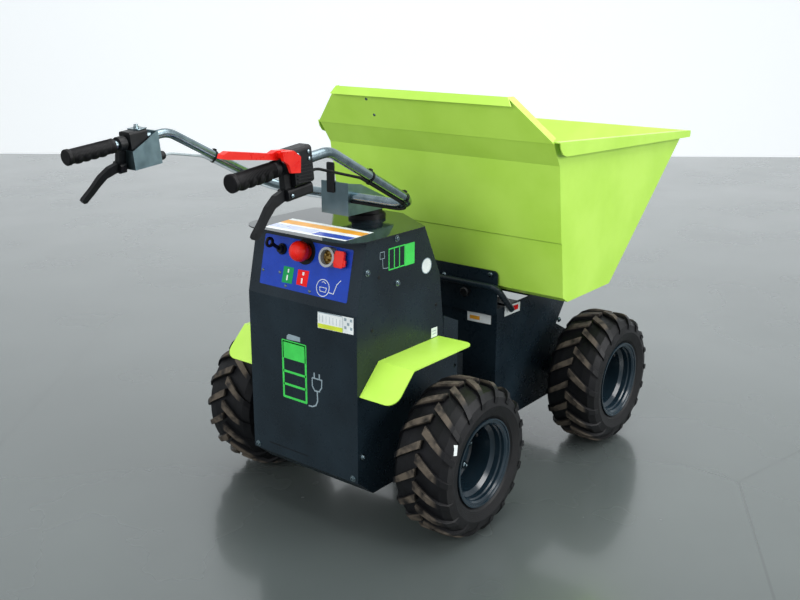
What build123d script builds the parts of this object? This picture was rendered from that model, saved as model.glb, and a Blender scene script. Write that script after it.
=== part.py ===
from build123d import *
from math import atan2, cos, degrees, radians, sin, tan
import os

os.makedirs("parts", exist_ok=True)

# Walk-behind electric site dumper, articulated between its two axles, with a tub that tips forward.
# Frame: X forward, Y left, Z up, millimetres. The floor is z = 0, and X and Y are centred on the
# box of the whole machine. Every size below is the real one.

# ---------------------------------------------------------------- machine
wheelbase = 734
rear_reach = 680.5  # rear axle back to the end of the drive lever
grip_reach = 661  # rear axle back to the ends of the grips
front_reach = 388  # front axle forward to the tub's front lip
rear_axle_x = rear_reach - (rear_reach + wheelbase + front_reach) / 2
front_axle_x = rear_axle_x + wheelbase
running_gap = 0.06  # radial clearance of a pin or shaft in its bore
seat_gap = 0.3  # between a seated piece and its seat
on_base = (Align.CENTER, Align.CENTER, Align.MIN)

# ---------------------------------------------------------------- wheels
tyre_radius = 198  # over the lugs
tyre_width = 165
lug_height = 14
lug_count = 18  # on each side of the crown
lug_width = 14
lug_reach = 29  # how far the lug's middle end leads its shoulder end
lug_turn = 2.8  # degrees, of the whole tread about the axle
wheel_y = 331.5  # centre plane of each wheel
axle_z = tyre_radius
rim_seat_radius = 101.5
rim_flange_radius = 113
rim_half_width = 74.5
rim_wall = 3.5
rim_well_radius = 88
disc_offset = -16  # outer face of the rim's disc from the wheel's centre plane
disc_thickness = 5
hub_radius = 34
hub_inner_end = 60  # hub's inner end from the wheel's centre plane
shaft_radius = 15
shaft_stub = 12  # shaft end beyond the rim's disc

# ---------------------------------------------------------------- axles
axle_tube_radius = 27
axle_tube_half = 267
gearbox_half = 60
gearbox_length = 96
gearbox_height = 58
motor_radius = 46
motor_length = 190
motor_setback = 92  # motor centre from the axle, towards the pivot

# ---------------------------------------------------------------- rear unit
cabinet_half = 180
cabinet_rear = rear_axle_x - 219
cabinet_nose = rear_axle_x + 127
cover_z = 759  # top of the top cover
bend_z = 585  # where the rear face folds forward into the control panel
panel_lean = 12.5
seam_z = 450  # lower frame below, hood above
belly_z = 109
belly_setback = 57  # the belly plate's rear edge, ahead of the rear cover
panel_foot_z = 156  # lower edge of the rear cover
frame_plate = 5
hood_wall = 2.5
rear_cover_wall = 3
wing_front = rear_axle_x + 196
wing_slope_z = 504
wing_front_z = 474
bulkhead_x = rear_axle_x + 156
battery_x = rear_axle_x - 45
battery_z = 290  # top of the battery tray
battery_length = 210
battery_width = 260
battery_height = 200

# ---------------------------------------------------------------- pivot between the two units
pivot_x = rear_axle_x + 322
kingpin_radius = 16
fork_z = (184, 309)  # undersides of the two fork plates
fork_plate = 12
fork_eye_radius = 38
tongue_half_height = 40
washer_gap = 0.4

# ---------------------------------------------------------------- front unit
front_half = 186
front_rear_x = rear_axle_x + 380
front_nose_x = front_axle_x + 56
front_nose_z = 300
front_deck_z = 461
side_plate = 6
tub_pin_x = rear_axle_x + 700
tub_pin_z = 464
tub_pin_radius = 10
ear_y = 105  # inner face of each fixed ear
ear_thick = 9
guard_wall = 4  # guard plate behind the tub
guard_z = 572  # its upper edge

# ---------------------------------------------------------------- tub
tub_wall = 3
tub_floor_z = 512
tub_floor_rear = rear_axle_x + 419
tub_floor_front = rear_axle_x + 665
tub_heel = (rear_axle_x + 392, 528)  # where the floor's rear edge turns up
tub_ledge_z = 680  # joggle across the rear wall
tub_ledge = 4
tub_bend = (rear_axle_x + 329, 891)  # where the rear wall leans further back
tub_top_rear = rear_axle_x + 285
tub_top_rear_z = 957
tub_top_front = front_axle_x + 372
tub_top_front_z = 913
tub_floor_half = 384
tub_top_half = 391
lip_width = 16
lip_drop = (37, 20)  # depth of the folded lip at the rear and at the front
lip_start = 10  # rear end of the side lips, from the tub's top rear edge
brow_rise = 107  # upper edge of the raised rear brow, from the tub's top rear edge
brow_setback = 47
brow_half = 284
brow_fold = (9, 22)  # the brow's upper edge folded back and down
brow_flange = 18

# ---------------------------------------------------------------- tipping actuator
ram_base_x = rear_axle_x + 451
ram_base_z = 260
ram_eye_x = rear_axle_x + 650
ram_eye_z = 486
ram_pin_radius = 6
ram_tube_radius = 22
ram_rod_radius = 10
ram_eye_radius = 11
ram_eye_half = 9

# ---------------------------------------------------------------- handlebar
bar_radius = 11
bar_wall = 2
grip_y = 257
grip_end = (rear_axle_x - grip_reach, 963)  # rear end of the grips, x and z
bar_crest = (rear_axle_x - 386, 994)
bar_front = (rear_axle_x - 70, 831)
bar_front_half = 247
grip_length = 122
grip_radius = 16


# ================================================================ wheels
def side_profile(points, half_width):
    with BuildPart() as slab:
        with BuildSketch(Plane.XZ):
            with BuildLine():
                Polyline(*points, close=True)
            make_face()
        extrude(amount=half_width, both=True)
    return slab.part


half_tyre = tyre_width / 2
crown_radius = tyre_radius - lug_height
carcass_outline = [  # radius, distance from the centre plane
    (rim_seat_radius + seat_gap, rim_half_width - 6),
    (rim_flange_radius + 1, rim_half_width - 6),
    (rim_flange_radius + 10, half_tyre - 7),
    (rim_flange_radius + 34, half_tyre),
    (crown_radius - 16, half_tyre - 5),
    (crown_radius - 3, half_tyre - 20),
    (crown_radius, half_tyre - 44),
]
lug_envelope = [  # what the lugs are trimmed to
    (crown_radius - 30, half_tyre),
    (crown_radius - 14, half_tyre - 1),
    (crown_radius + 2, half_tyre - 13),
    (tyre_radius - 3, half_tyre - 31),
    (tyre_radius, half_tyre - 44),
]


def wheel_turn(outline):
    # a ring, symmetrical about the wheel's centre plane, from its half outline
    with BuildPart() as ring:
        with BuildSketch(Plane.YZ):
            with BuildLine():
                near = [(y, r) for r, y in outline]
                far = [(-y, r) for r, y in reversed(outline)]
                Polyline(*near, *far, close=True)
            make_face()
        revolve(axis=Axis.Y)
    return ring.part


lug_root = crown_radius - 32
with BuildPart() as lug:
    with BuildSketch(Plane.XY.offset(lug_root)):
        with BuildLine():
            Polyline(
                (lug_reach, -2),
                (lug_reach - lug_width * 1.5, -2),
                (-lug_reach - lug_width, half_tyre + 2),
                (-lug_reach, half_tyre + 2),
                close=True,
            )
        make_face()
    extrude(amount=tyre_radius + 6 - lug_root)

lug_pitch = 360 / lug_count
with BuildPart() as left_tyre:
    with Locations(*[Location((0, 0, 0), (0, lug_turn + lug_pitch * step, 0)) for step in range(lug_count)]):
        add(lug.part)
    half_turn = lug_turn + lug_pitch / 2
    with Locations(*[Location((0, 0, 0), (0, half_turn + lug_pitch * step, 0)) for step in range(lug_count)]):
        add(mirror(lug.part, about=Plane.XZ, mode=Mode.PRIVATE))
    add(wheel_turn(lug_envelope), mode=Mode.INTERSECT)
    add(wheel_turn(carcass_outline))

rim_inner = rim_seat_radius - rim_wall
well_inner = rim_well_radius - rim_wall
with BuildPart() as left_rim:
    with BuildSketch(Plane.YZ):
        with BuildLine():
            Polyline(
                (rim_half_width, rim_flange_radius),
                (rim_half_width - 5, rim_flange_radius),
                (rim_half_width - 6, rim_seat_radius),
                (rim_half_width - 30, rim_seat_radius),
                (rim_half_width - 40, rim_well_radius),
                (-rim_half_width + 40, rim_well_radius),
                (-rim_half_width + 30, rim_seat_radius),
                (-rim_half_width + 6, rim_seat_radius),
                (-rim_half_width + 5, rim_flange_radius),
                (-rim_half_width, rim_flange_radius),
                (-rim_half_width, rim_flange_radius - 5),
                (-rim_half_width + 8, rim_inner),
                (-rim_half_width + 31, rim_inner),
                (-rim_half_width + 41, well_inner),
                (disc_offset - disc_thickness - 8, well_inner),
                (disc_offset - disc_thickness - 16, well_inner - 8),
                (disc_offset - disc_thickness, hub_radius + 26),
                (disc_offset - disc_thickness, hub_radius),
                (-hub_inner_end, hub_radius),
                (-hub_inner_end, shaft_radius + running_gap),
                (disc_offset, shaft_radius + running_gap),
                (disc_offset, hub_radius + 28),
                (disc_offset - 14, well_inner - 7),
                (disc_offset - 6, well_inner),
                (rim_half_width - 41, well_inner),
                (rim_half_width - 33, rim_inner - 3),
                (rim_half_width - 19, rim_inner - 3),
                (rim_half_width - 16, rim_inner),
                (rim_half_width - 8, rim_inner),
                (rim_half_width - 4, rim_inner + 4),
                (rim_half_width - 3, rim_flange_radius - 5),
                (rim_half_width, rim_flange_radius - 4),
                close=True,
            )
        make_face()
    revolve(axis=Axis.Y)

with BuildPart() as right_tyre:
    mirror(left_tyre.part, about=Plane.XZ)
with BuildPart() as right_rim:
    mirror(left_rim.part, about=Plane.XZ)

wheel_table = [  # name, axle x, side, tyre, rim
    ("rear_left", rear_axle_x, 1, left_tyre, left_rim),
    ("rear_right", rear_axle_x, -1, right_tyre, right_rim),
    ("front_left", front_axle_x, 1, left_tyre, left_rim),
    ("front_right", front_axle_x, -1, right_tyre, right_rim),
]
for wheel_name, wheel_x, side, tyre_form, rim_form in wheel_table:
    for piece_name, form in (("tyre", tyre_form), ("rim", rim_form)):
        with BuildPart() as wheel_piece:
            with Locations((wheel_x, side * wheel_y, axle_z)):
                add(form.part)
        wheel_piece.part.label = f"{piece_name}_{wheel_name}"
        export_step(wheel_piece.part, f"parts/{piece_name}_{wheel_name}.step")

# ================================================================ axles, with their gear case and motor
for axle_name, axle_x, motor_side in (("rear_axle", rear_axle_x, -1), ("front_axle", front_axle_x, -1)):
    with BuildPart() as axle:
        with Locations(Location((axle_x, 0, axle_z), (90, 0, 0))):
            Cylinder(axle_tube_radius, 2 * axle_tube_half)
            Cylinder(shaft_radius, 2 * (wheel_y + disc_offset + shaft_stub))
        with Locations((axle_x, 0, axle_z)):
            Box(gearbox_length, 2 * gearbox_half, gearbox_height)
        with Locations(Location((axle_x + motor_side * motor_setback, 0, axle_z + 18), (90, 0, 0))):
            Cylinder(motor_radius, motor_length)
    axle.part.label = axle_name
    export_step(axle.part, f"parts/{axle_name}.step")

axle_bore = axle_tube_radius + seat_gap

# ================================================================ rear frame
plate_rear = cabinet_rear + rear_cover_wall + seat_gap
rear_side_outline = [
    (cabinet_rear + belly_setback, belly_z),
    (wing_front - 40, belly_z),
    (wing_front, belly_z + 40),
    (wing_front, wing_front_z),
    (cabinet_nose + 2, wing_slope_z),
    (cabinet_nose + 2, seam_z),
    (plate_rear, seam_z),
    (plate_rear, panel_foot_z),
]
with BuildPart() as rear_frame:
    with BuildSketch(Plane.XZ.offset(-cabinet_half)):
        with BuildLine():
            Polyline(*rear_side_outline, close=True)
        make_face()
        with Locations((rear_axle_x, axle_z)):
            Circle(axle_bore, mode=Mode.SUBTRACT)
        with Locations((wing_front - 12, 349)):
            Circle(6, mode=Mode.SUBTRACT)
    extrude(amount=frame_plate)
    mirror(about=Plane.XZ)
    inner_half = cabinet_half - frame_plate
    with Locations(((cabinet_rear + belly_setback + bulkhead_x) / 2, 0, belly_z + frame_plate / 2)):
        Box(bulkhead_x - cabinet_rear - belly_setback, 2 * inner_half, frame_plate)
    with Locations((bulkhead_x + frame_plate / 2, 0, (belly_z + seam_z) / 2)):
        Box(frame_plate, 2 * inner_half, seam_z - belly_z)
    # battery tray
    with Locations((battery_x, 0, battery_z - seat_gap - frame_plate / 2)):
        Box(battery_length + 30, 2 * inner_half, frame_plate)
    with BuildSketch(Plane.XZ):
        with BuildLine():
            Polyline(
                (cabinet_rear + belly_setback, belly_z),
                (cabinet_rear + belly_setback, belly_z + frame_plate),
                (plate_rear + 4, panel_foot_z),
                (plate_rear, panel_foot_z),
                close=True,
            )
        make_face()
    extrude(amount=inner_half, both=True)
    for plate_z in fork_z:
        with BuildSketch(Plane.XY.offset(plate_z)):
            with BuildLine():
                Polyline(
                    (bulkhead_x + frame_plate, -115),
                    (bulkhead_x + frame_plate, 115),
                    (pivot_x, fork_eye_radius),
                    (pivot_x, -fork_eye_radius),
                    close=True,
                )
            make_face()
            with Locations((pivot_x, 0)):
                Circle(fork_eye_radius)
                Circle(kingpin_radius, mode=Mode.SUBTRACT)
        extrude(amount=fork_plate)
rear_frame.part.label = "rear_frame"
export_step(rear_frame.part, "parts/rear_frame.step")

with BuildPart() as kingpin:
    with Locations((pivot_x, 0, fork_z[0] - 10)):
        Cylinder(kingpin_radius, fork_z[1] - fork_z[0] + fork_plate + 10, align=on_base)
    with Locations((pivot_x, 0, fork_z[1] + fork_plate)):
        Cylinder(kingpin_radius + 8, 8, align=on_base)
kingpin.part.label = "kingpin"
export_step(kingpin.part, "parts/kingpin.step")

# ================================================================ hood
lean = tan(radians(panel_lean))


def hood_block(inset, low, high):
    # the hood's outer form, with every wall moved in by inset
    rear = cabinet_rear + rear_cover_wall + seat_gap
    block = side_profile(
        [
            (rear, low),
            (cabinet_nose - inset, low),
            (cabinet_nose - inset, high),
            (rear + (high - bend_z) * lean, high),
            (rear, bend_z),
        ],
        cabinet_half - inset,
    )
    low_corner = Vector(cabinet_nose, cabinet_half, 481)
    kink = Vector(rear_axle_x + 108, cabinet_half, 623)
    high_corner = Vector(rear_axle_x + 41, cabinet_half, cover_z)
    nose_low = Vector(cabinet_nose, cabinet_half - 31, 623)
    nose_high = Vector(cabinet_nose, 44, cover_z)
    with BuildPart() as shaped:
        add(block)
        for corners in ((low_corner, kink, nose_low), (kink, high_corner, nose_high)):
            normal = (corners[1] - corners[0]).cross(corners[2] - corners[0]).normalized()
            if normal.X < 0:
                normal = -normal
            for side in (1, -1):
                spot = Vector(corners[0].X, side * corners[0].Y, corners[0].Z)
                facing = Vector(normal.X, side * normal.Y, normal.Z)
                split(bisect_by=Plane(origin=spot - facing * inset, z_dir=facing), keep=Keep.BOTTOM)
    return shaped.part


hood_top = cover_z - 3
with BuildPart() as hood:
    add(hood_block(0, seam_z, hood_top))
    add(hood_block(hood_wall, seam_z - 1, hood_top + 1), mode=Mode.SUBTRACT)
hood.part.label = "hood"
export_step(hood.part, "parts/hood.step")

# ================================================================ rear cover, whose upper part is the panel
with BuildPart() as rear_cover:
    with BuildSketch(Plane.XZ):
        with BuildLine():
            Polyline(
                (cabinet_rear, panel_foot_z),
                (cabinet_rear + rear_cover_wall, panel_foot_z),
                (cabinet_rear + rear_cover_wall, bend_z),
                (cabinet_rear + rear_cover_wall + (hood_top - bend_z) * lean, hood_top),
                (cabinet_rear + (hood_top - bend_z) * lean, hood_top),
                (cabinet_rear, bend_z),
                close=True,
            )
        make_face()
    extrude(amount=cabinet_half, both=True)
rear_cover.part.label = "rear_cover"
export_step(rear_cover.part, "parts/rear_cover.step")

# ================================================================ top cover
cover_rear = rear_axle_x - 242
cover_half = 188
cover_corner = 68
with BuildPart() as top_cover:
    with BuildSketch(Plane.XY.offset(hood_top)):
        with BuildLine():
            Polyline(
                (cover_rear, -cover_half),
                (rear_axle_x + 34, -cover_half),
                (cabinet_nose, -44),
                (cabinet_nose, 44),
                (rear_axle_x + 34, cover_half),
                (cover_rear, cover_half),
                close=True,
            )
        make_face()
        rear_corners = vertices().group_by(Axis.X)[0]
        fillet(rear_corners, cover_corner)
    extrude(amount=cover_z - hood_top)
top_cover.part.label = "top_cover"
export_step(top_cover.part, "parts/top_cover.step")

# ================================================================ battery, one block
with BuildPart() as battery:
    with Locations((battery_x, 0, battery_z)):
        Box(battery_length, battery_width, battery_height, align=on_base)
battery.part.label = "battery"
export_step(battery.part, "parts/battery.step")

# ================================================================ fenders
fender_z = 454
fender_wall = 3
fender_inner = cabinet_half + seat_gap
fender_outer = 288
fender_bend = rear_axle_x - 139
flap_length = 102
flap_angle = radians(44.2)  # below the flat part
flap_plane = Plane(
    origin=(fender_bend, 0, fender_z),
    x_dir=(-cos(flap_angle), 0, -sin(flap_angle)),
    z_dir=(-sin(flap_angle), 0, cos(flap_angle)),
)
with BuildPart() as left_fender:
    with BuildSketch(Plane.XY.offset(fender_z - fender_wall)):
        with BuildLine():
            Polyline(
                (fender_bend, fender_inner),
                (rear_axle_x + 108, fender_inner),
                (rear_axle_x + 114, fender_outer),
                (fender_bend, fender_outer),
                close=True,
            )
        make_face()
        fillet(vertices().sort_by(Axis.X)[-1:], 25)
    extrude(amount=fender_wall)
    with BuildSketch(flap_plane):
        with BuildLine():
            Polyline(
                (0, -fender_inner),
                (flap_length, -fender_inner),
                (flap_length, -fender_outer),
                (0, -fender_outer),
                close=True,
            )
        make_face()
        fillet(vertices().sort_by(lambda corner: corner.X - corner.Y)[-1:], 32)
    extrude(amount=-fender_wall)
with BuildPart() as right_fender:
    mirror(left_fender.part, about=Plane.XZ)
for fender_name, fender in (("left_fender", left_fender), ("right_fender", right_fender)):
    fender.part.label = fender_name
    export_step(fender.part, f"parts/{fender_name}.step")

# ================================================================ front frame
front_outline = [
    (front_rear_x, belly_z + 35),
    (front_rear_x + 35, belly_z),
    (front_nose_x - 40, belly_z),
    (front_nose_x, belly_z + 60),
    (front_nose_x, front_nose_z),
    (front_nose_x - 66, front_nose_z + 35),
    (front_nose_x - 21, front_deck_z - 67),
    (front_nose_x, front_deck_z - 36),
    (front_nose_x - 25, front_deck_z),
    (front_rear_x, front_deck_z),
]
front_inner = front_half - side_plate
rest_x = tub_floor_rear + 55  # middle of the rests under the tub's floor
with BuildPart() as front_frame:
    with BuildSketch(Plane.XZ.offset(-front_half)):
        with BuildLine():
            Polyline(*front_outline, close=True)
        make_face()
        with Locations((front_axle_x, axle_z)):
            Circle(axle_bore, mode=Mode.SUBTRACT)
    extrude(amount=side_plate)
    mirror(about=Plane.XZ)
    plates = [  # x from, x to, z from, z to, of the plates across the frame
        (front_rear_x, front_rear_x + side_plate, belly_z + 35, front_deck_z),
        (front_rear_x + 35, front_nose_x - 40, belly_z, belly_z + side_plate),
        (front_nose_x - side_plate, front_nose_x, belly_z + 60, front_nose_z),
        (tub_pin_x - 24, tub_pin_x + 24, front_deck_z - 40, front_deck_z - 30),
        (front_rear_x + side_plate, front_rear_x + 42, front_deck_z - side_plate, front_deck_z),
        (rest_x - 28, rest_x + 28, front_deck_z - 12, front_deck_z - 2),
    ]
    for x_from, x_to, z_from, z_to in plates:
        with Locations(((x_from + x_to) / 2, 0, (z_from + z_to) / 2)):
            Box(x_to - x_from, 2 * front_inner, z_to - z_from)
    for side in (1, -1):
        # ear that holds the tub's pin
        with BuildSketch(Plane.XZ.offset(-side * (ear_y + ear_thick / 2))):
            with BuildLine():
                Polyline(
                    (tub_pin_x - 24, front_deck_z - 31),
                    (tub_pin_x + 24, front_deck_z - 31),
                    (tub_pin_x + 16, tub_pin_z),
                    (tub_pin_x - 16, tub_pin_z),
                    close=True,
                )
            make_face()
            with Locations((tub_pin_x, tub_pin_z)):
                Circle(18)
                Circle(tub_pin_radius, mode=Mode.SUBTRACT)
        extrude(amount=ear_thick / 2, both=True)
        # lug that holds the actuator's base pin
        with BuildSketch(Plane.XZ.offset(-side * (24 + 4))):
            with BuildLine():
                Polyline(
                    (front_rear_x + side_plate - 1, ram_base_z - 26),
                    (ram_base_x, ram_base_z - 14),
                    (ram_base_x, ram_base_z + 14),
                    (front_rear_x + side_plate - 1, ram_base_z + 26),
                    close=True,
                )
            make_face()
            with Locations((ram_base_x, ram_base_z)):
                Circle(14)
                Circle(ram_pin_radius, mode=Mode.SUBTRACT)
        extrude(amount=4, both=True)
front_frame.part.label = "front_frame"
export_step(front_frame.part, "parts/front_frame.step")

# tongue of the front unit, between the fork plates
tongue_low = fork_z[0] + fork_plate + washer_gap
tongue_high = fork_z[1] - washer_gap
with BuildPart() as tongue:
    with BuildSketch(Plane.XY.offset(tongue_low)):
        with BuildLine():
            Polyline(
                (front_rear_x - seat_gap, -73),
                (front_rear_x - seat_gap, 73),
                (pivot_x, fork_eye_radius - 4),
                (pivot_x, -fork_eye_radius + 4),
                close=True,
            )
        make_face()
        with Locations((pivot_x, 0)):
            Circle(fork_eye_radius - 4)
            Circle(kingpin_radius + running_gap, mode=Mode.SUBTRACT)
    extrude(amount=tongue_high - tongue_low)
tongue.part.label = "tongue"
export_step(tongue.part, "parts/tongue.step")

# guard plate and bar behind the tub
with BuildPart() as tub_guard:
    with BuildSketch(Plane.YZ.offset(front_rear_x - seat_gap)):
        with Locations((0, (front_deck_z - 20 + guard_z) / 2)):
            RectangleRounded(2 * front_half, guard_z - front_deck_z + 20, 14)
    extrude(amount=-guard_wall)
tub_guard.part.label = "tub_guard"
export_step(tub_guard.part, "parts/tub_guard.step")

catch_radius = 9
catch_y = front_half + catch_radius + seat_gap
with BuildPart() as catch_bar:
    with BuildLine() as catch_path:
        FilletPolyline(
            (front_rear_x + 62, catch_y, front_deck_z - 12),
            (front_rear_x - 21, catch_y, guard_z - 42),
            (front_rear_x - 21, -catch_y, guard_z - 42),
            (front_rear_x + 62, -catch_y, front_deck_z - 12),
            radius=22,
        )
    with BuildSketch(Plane(origin=catch_path.line @ 0, z_dir=catch_path.line % 0)):
        Circle(catch_radius)
    sweep()
catch_bar.part.label = "catch_bar"
export_step(catch_bar.part, "parts/catch_bar.step")

with BuildPart() as tub_rests:
    for side in (1, -1):
        with Locations((rest_x, side * 69, front_deck_z - 2)):
            Box(36, 44, tub_floor_z - front_deck_z + 2 - seat_gap, align=on_base)
tub_rests.part.label = "tub_rests"
export_step(tub_rests.part, "parts/tub_rests.step")

with BuildPart() as tub_pins:
    for side in (1, -1):
        with Locations(Location((tub_pin_x, side * (ear_y + 12), tub_pin_z), (90, 0, 0))):
            Cylinder(tub_pin_radius, 38)
tub_pins.part.label = "tub_pins"
export_step(tub_pins.part, "parts/tub_pins.step")

# ================================================================ tub
floor_flare = (tub_top_half - tub_floor_half) / (tub_top_rear_z - tub_floor_z)
wall_lean = (tub_heel[0] - tub_bend[0]) / (tub_bend[1] - tub_heel[1])
ledge_x = tub_heel[0] - (tub_ledge_z - tub_heel[1]) * wall_lean


def tub_block(inset, rise):
    # the tub's outer form, with every wall moved in by inset and the mouth raised by rise
    rear_run = (tub_bend[0] - tub_top_rear) / (tub_top_rear_z - tub_bend[1])
    front_run = (tub_top_front - tub_floor_front) / (tub_top_front_z - tub_floor_z)
    with BuildPart() as shaped:
        with BuildSketch(Plane.XZ):
            with BuildLine():
                Polyline(
                    (tub_floor_rear, tub_floor_z),
                    (tub_floor_front, tub_floor_z),
                    (tub_top_front + rise * front_run, tub_top_front_z + rise),
                    (tub_top_rear - rise * rear_run, tub_top_rear_z + rise),
                    tub_bend,
                    (ledge_x - tub_ledge / 2, tub_ledge_z + tub_ledge),
                    (ledge_x + tub_ledge / 2, tub_ledge_z),
                    tub_heel,
                    close=True,
                )
            make_face()
            if inset:
                offset(amount=-inset, kind=Kind.INTERSECTION, mode=Mode.REPLACE)
        extrude(amount=tub_top_half + lip_width, both=True)
        for side in (1, -1):
            facing = Vector(0, side, -floor_flare).normalized()
            spot = Vector(0, side * tub_floor_half, tub_floor_z) - facing * inset
            split(bisect_by=Plane(origin=spot, z_dir=facing), keep=Keep.BOTTOM)
    return shaped.part


lip_length = tub_top_front + lip_width - tub_top_rear
lip_tilt = degrees(atan2(tub_top_front_z - tub_top_rear_z, tub_top_front - tub_top_rear))
lip_along = (cos(radians(lip_tilt)), 0, sin(radians(lip_tilt)))
lip_up = (-sin(radians(lip_tilt)), 0, cos(radians(lip_tilt)))
lip_plane = Plane(origin=(tub_top_rear, 0, tub_top_rear_z), x_dir=lip_along, z_dir=lip_up)
lip_half = tub_top_half + lip_width
mouth_length = lip_length - lip_width - lip_start + 20 - tub_wall
brow_x = tub_top_rear - brow_setback
brow_z = tub_top_rear_z + brow_rise
with BuildPart() as tub:
    add(tub_block(0, 0))
    add(tub_block(tub_wall, 20), mode=Mode.SUBTRACT)
    # lip folded outward along both sides and the front
    with BuildSketch(lip_plane.offset(-tub_wall)):
        with Locations(((lip_start + lip_length) / 2, 0)):
            Rectangle(lip_length - lip_start, 2 * lip_half)
        with Locations((lip_start - 20 + mouth_length / 2, 0)):
            Rectangle(mouth_length, 2 * (tub_top_half - tub_wall), mode=Mode.SUBTRACT)
    extrude(amount=tub_wall)
    # and then down
    for side in (1, -1):
        edge_at = (tub_top_rear, side * (lip_half - tub_wall / 2), tub_top_rear_z)
        with BuildSketch(Plane(origin=edge_at, x_dir=lip_along, z_dir=(0, -1, 0))):
            with BuildLine():
                Polyline(
                    (lip_start, 0),
                    (lip_length, 0),
                    (lip_length, -lip_drop[1]),
                    (lip_start + 38, -lip_drop[0]),
                    (lip_start + 18, -lip_drop[0] + 6),
                    (lip_start + 6, -lip_drop[0] + 20),
                    close=True,
                )
            make_face()
        extrude(amount=tub_wall / 2, both=True)
    with BuildSketch(lip_plane.offset(-lip_drop[1])):
        with Locations((lip_length - tub_wall / 2, 0)):
            Rectangle(tub_wall, 2 * lip_half)
    extrude(amount=lip_drop[1])
    # raised brow across the rear, leaning back, with its upper edge folded down behind it
    with BuildPart(mode=Mode.PRIVATE) as brow:
        with BuildSketch(Plane.XZ):
            with BuildLine():
                Polyline(
                    (tub_top_rear + tub_wall, tub_top_rear_z - 3),
                    (brow_x + tub_wall / 2, brow_z),
                    (brow_x, brow_z),
                    (brow_x - brow_fold[0], brow_z - brow_fold[1]),
                    (brow_x - brow_fold[0] + tub_wall, brow_z - brow_fold[1]),
                    (brow_x, brow_z - tub_wall - 2),
                    (tub_top_rear, tub_top_rear_z - 5),
                    close=True,
                )
            make_face()
        extrude(amount=tub_top_half, both=True)
        for side in (1, -1):
            edge_low = Vector(tub_top_rear, side * tub_top_half, tub_top_rear_z)
            edge_high = Vector(brow_x, side * brow_half, brow_z)
            along = edge_high - edge_low
            facing = along.cross(Vector(1, 0, brow_setback / brow_rise)).normalized()
            if facing.Y * side < 0:
                facing = -facing
            split(bisect_by=Plane(origin=edge_low, z_dir=facing), keep=Keep.BOTTOM)
            # stiffening flange along the brow's sloping end
            with BuildSketch(Plane(origin=edge_low, x_dir=along, z_dir=facing)):
                with Locations((along.length / 2, side * brow_flange / 2)):
                    Rectangle(along.length, brow_flange)
            extrude(amount=-tub_wall)
        split(bisect_by=Plane.XY.offset(brow_z), keep=Keep.BOTTOM)
    add(brow.part)
tub.part.label = "tub"
export_step(tub.part, "parts/tub.step")

# carrier under the tub, with the hinge lugs and the lug for the actuator's rod
rail_y = ear_y + ear_thick + 8  # middle of each rail under the tub
hung = (Align.CENTER, Align.CENTER, Align.MAX)
with BuildPart() as tub_carrier:
    for side in (1, -1):
        with Locations(((tub_floor_rear + tub_floor_front) / 2, side * rail_y, tub_floor_z)):
            Box(tub_floor_front - tub_floor_rear - 30, 8, 26, align=hung)
        with BuildSketch(Plane.XZ.offset(-side * rail_y)):
            with BuildLine():
                Polyline(
                    (tub_floor_front - 70, tub_floor_z),
                    (tub_floor_front - 70, tub_floor_z - 26),
                    (tub_pin_x, tub_pin_z - 18),
                    (tub_pin_x + 17, tub_pin_z),
                    (tub_pin_x + 8, tub_floor_z + 20),
                    (tub_floor_front, tub_floor_z),
                    close=True,
                )
            make_face()
            with Locations((tub_pin_x, tub_pin_z)):
                Circle(18)
                Circle(tub_pin_radius + running_gap, mode=Mode.SUBTRACT)
        extrude(amount=4, both=True)
    with Locations((ram_eye_x - 40, 0, tub_floor_z)):
        Box(44, 2 * rail_y, 5, align=hung)
    for side in (1, -1):
        # lug and stub pin each side of the actuator's eye
        with BuildSketch(Plane.XZ.offset(-side * (ram_eye_half + 7))):
            with BuildLine():
                Polyline(
                    (ram_eye_x - 56, tub_floor_z),
                    (ram_eye_x - 10, ram_eye_z - 5),
                    (ram_eye_x + 10, ram_eye_z - 5),
                    (ram_eye_x + 16, tub_floor_z),
                    close=True,
                )
            make_face()
            with Locations((ram_eye_x, ram_eye_z)):
                Circle(12)
        extrude(amount=3, both=True)
        with Locations(Location((ram_eye_x, side * (ram_eye_half + 7), ram_eye_z), (90, 0, 0))):
            Cylinder(ram_pin_radius, 13)
tub_carrier.part.label = "tub_carrier"
export_step(tub_carrier.part, "parts/tub_carrier.step")

# ================================================================ tipping actuator, closed at rest
ram_x = ram_eye_x - ram_base_x
ram_z = ram_eye_z - ram_base_z
ram_length = (ram_x**2 + ram_z**2) ** 0.5
ram_along = Vector(ram_x, 0, ram_z) / ram_length
ram_plane = Plane(origin=(ram_base_x, 0, ram_base_z), x_dir=(0, 1, 0), z_dir=ram_along)
ram_tube_end = ram_length - 34
ram_bore = ram_rod_radius + running_gap
with BuildPart() as ram_body:
    with BuildSketch(ram_plane.offset(20)):
        Circle(ram_tube_radius)
    extrude(amount=ram_tube_end - 20)
    with BuildSketch(ram_plane.offset(34)):
        Circle(ram_bore)
    extrude(amount=ram_tube_end, mode=Mode.SUBTRACT)
    with BuildSketch(Plane.XZ):
        with Locations((ram_base_x, ram_base_z)):
            Circle(13)
    extrude(amount=23, both=True)
    with BuildSketch(ram_plane):
        Rectangle(40, 20)
    extrude(amount=24)
    # motor beside the tube
    with BuildSketch(ram_plane.offset(26)):
        with Locations((0, -ram_tube_radius - 14)):
            Circle(17)
    extrude(amount=118)
    with BuildSketch(ram_plane.offset(26)):
        with Locations((0, -ram_tube_radius - 4)):
            Rectangle(30, 24)
    extrude(amount=22)
    with Locations(Location((ram_base_x, 0, ram_base_z), (90, 0, 0))):
        Cylinder(ram_pin_radius + running_gap, 60, mode=Mode.SUBTRACT)
ram_body.part.label = "ram_body"
export_step(ram_body.part, "parts/ram_body.step")

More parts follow.
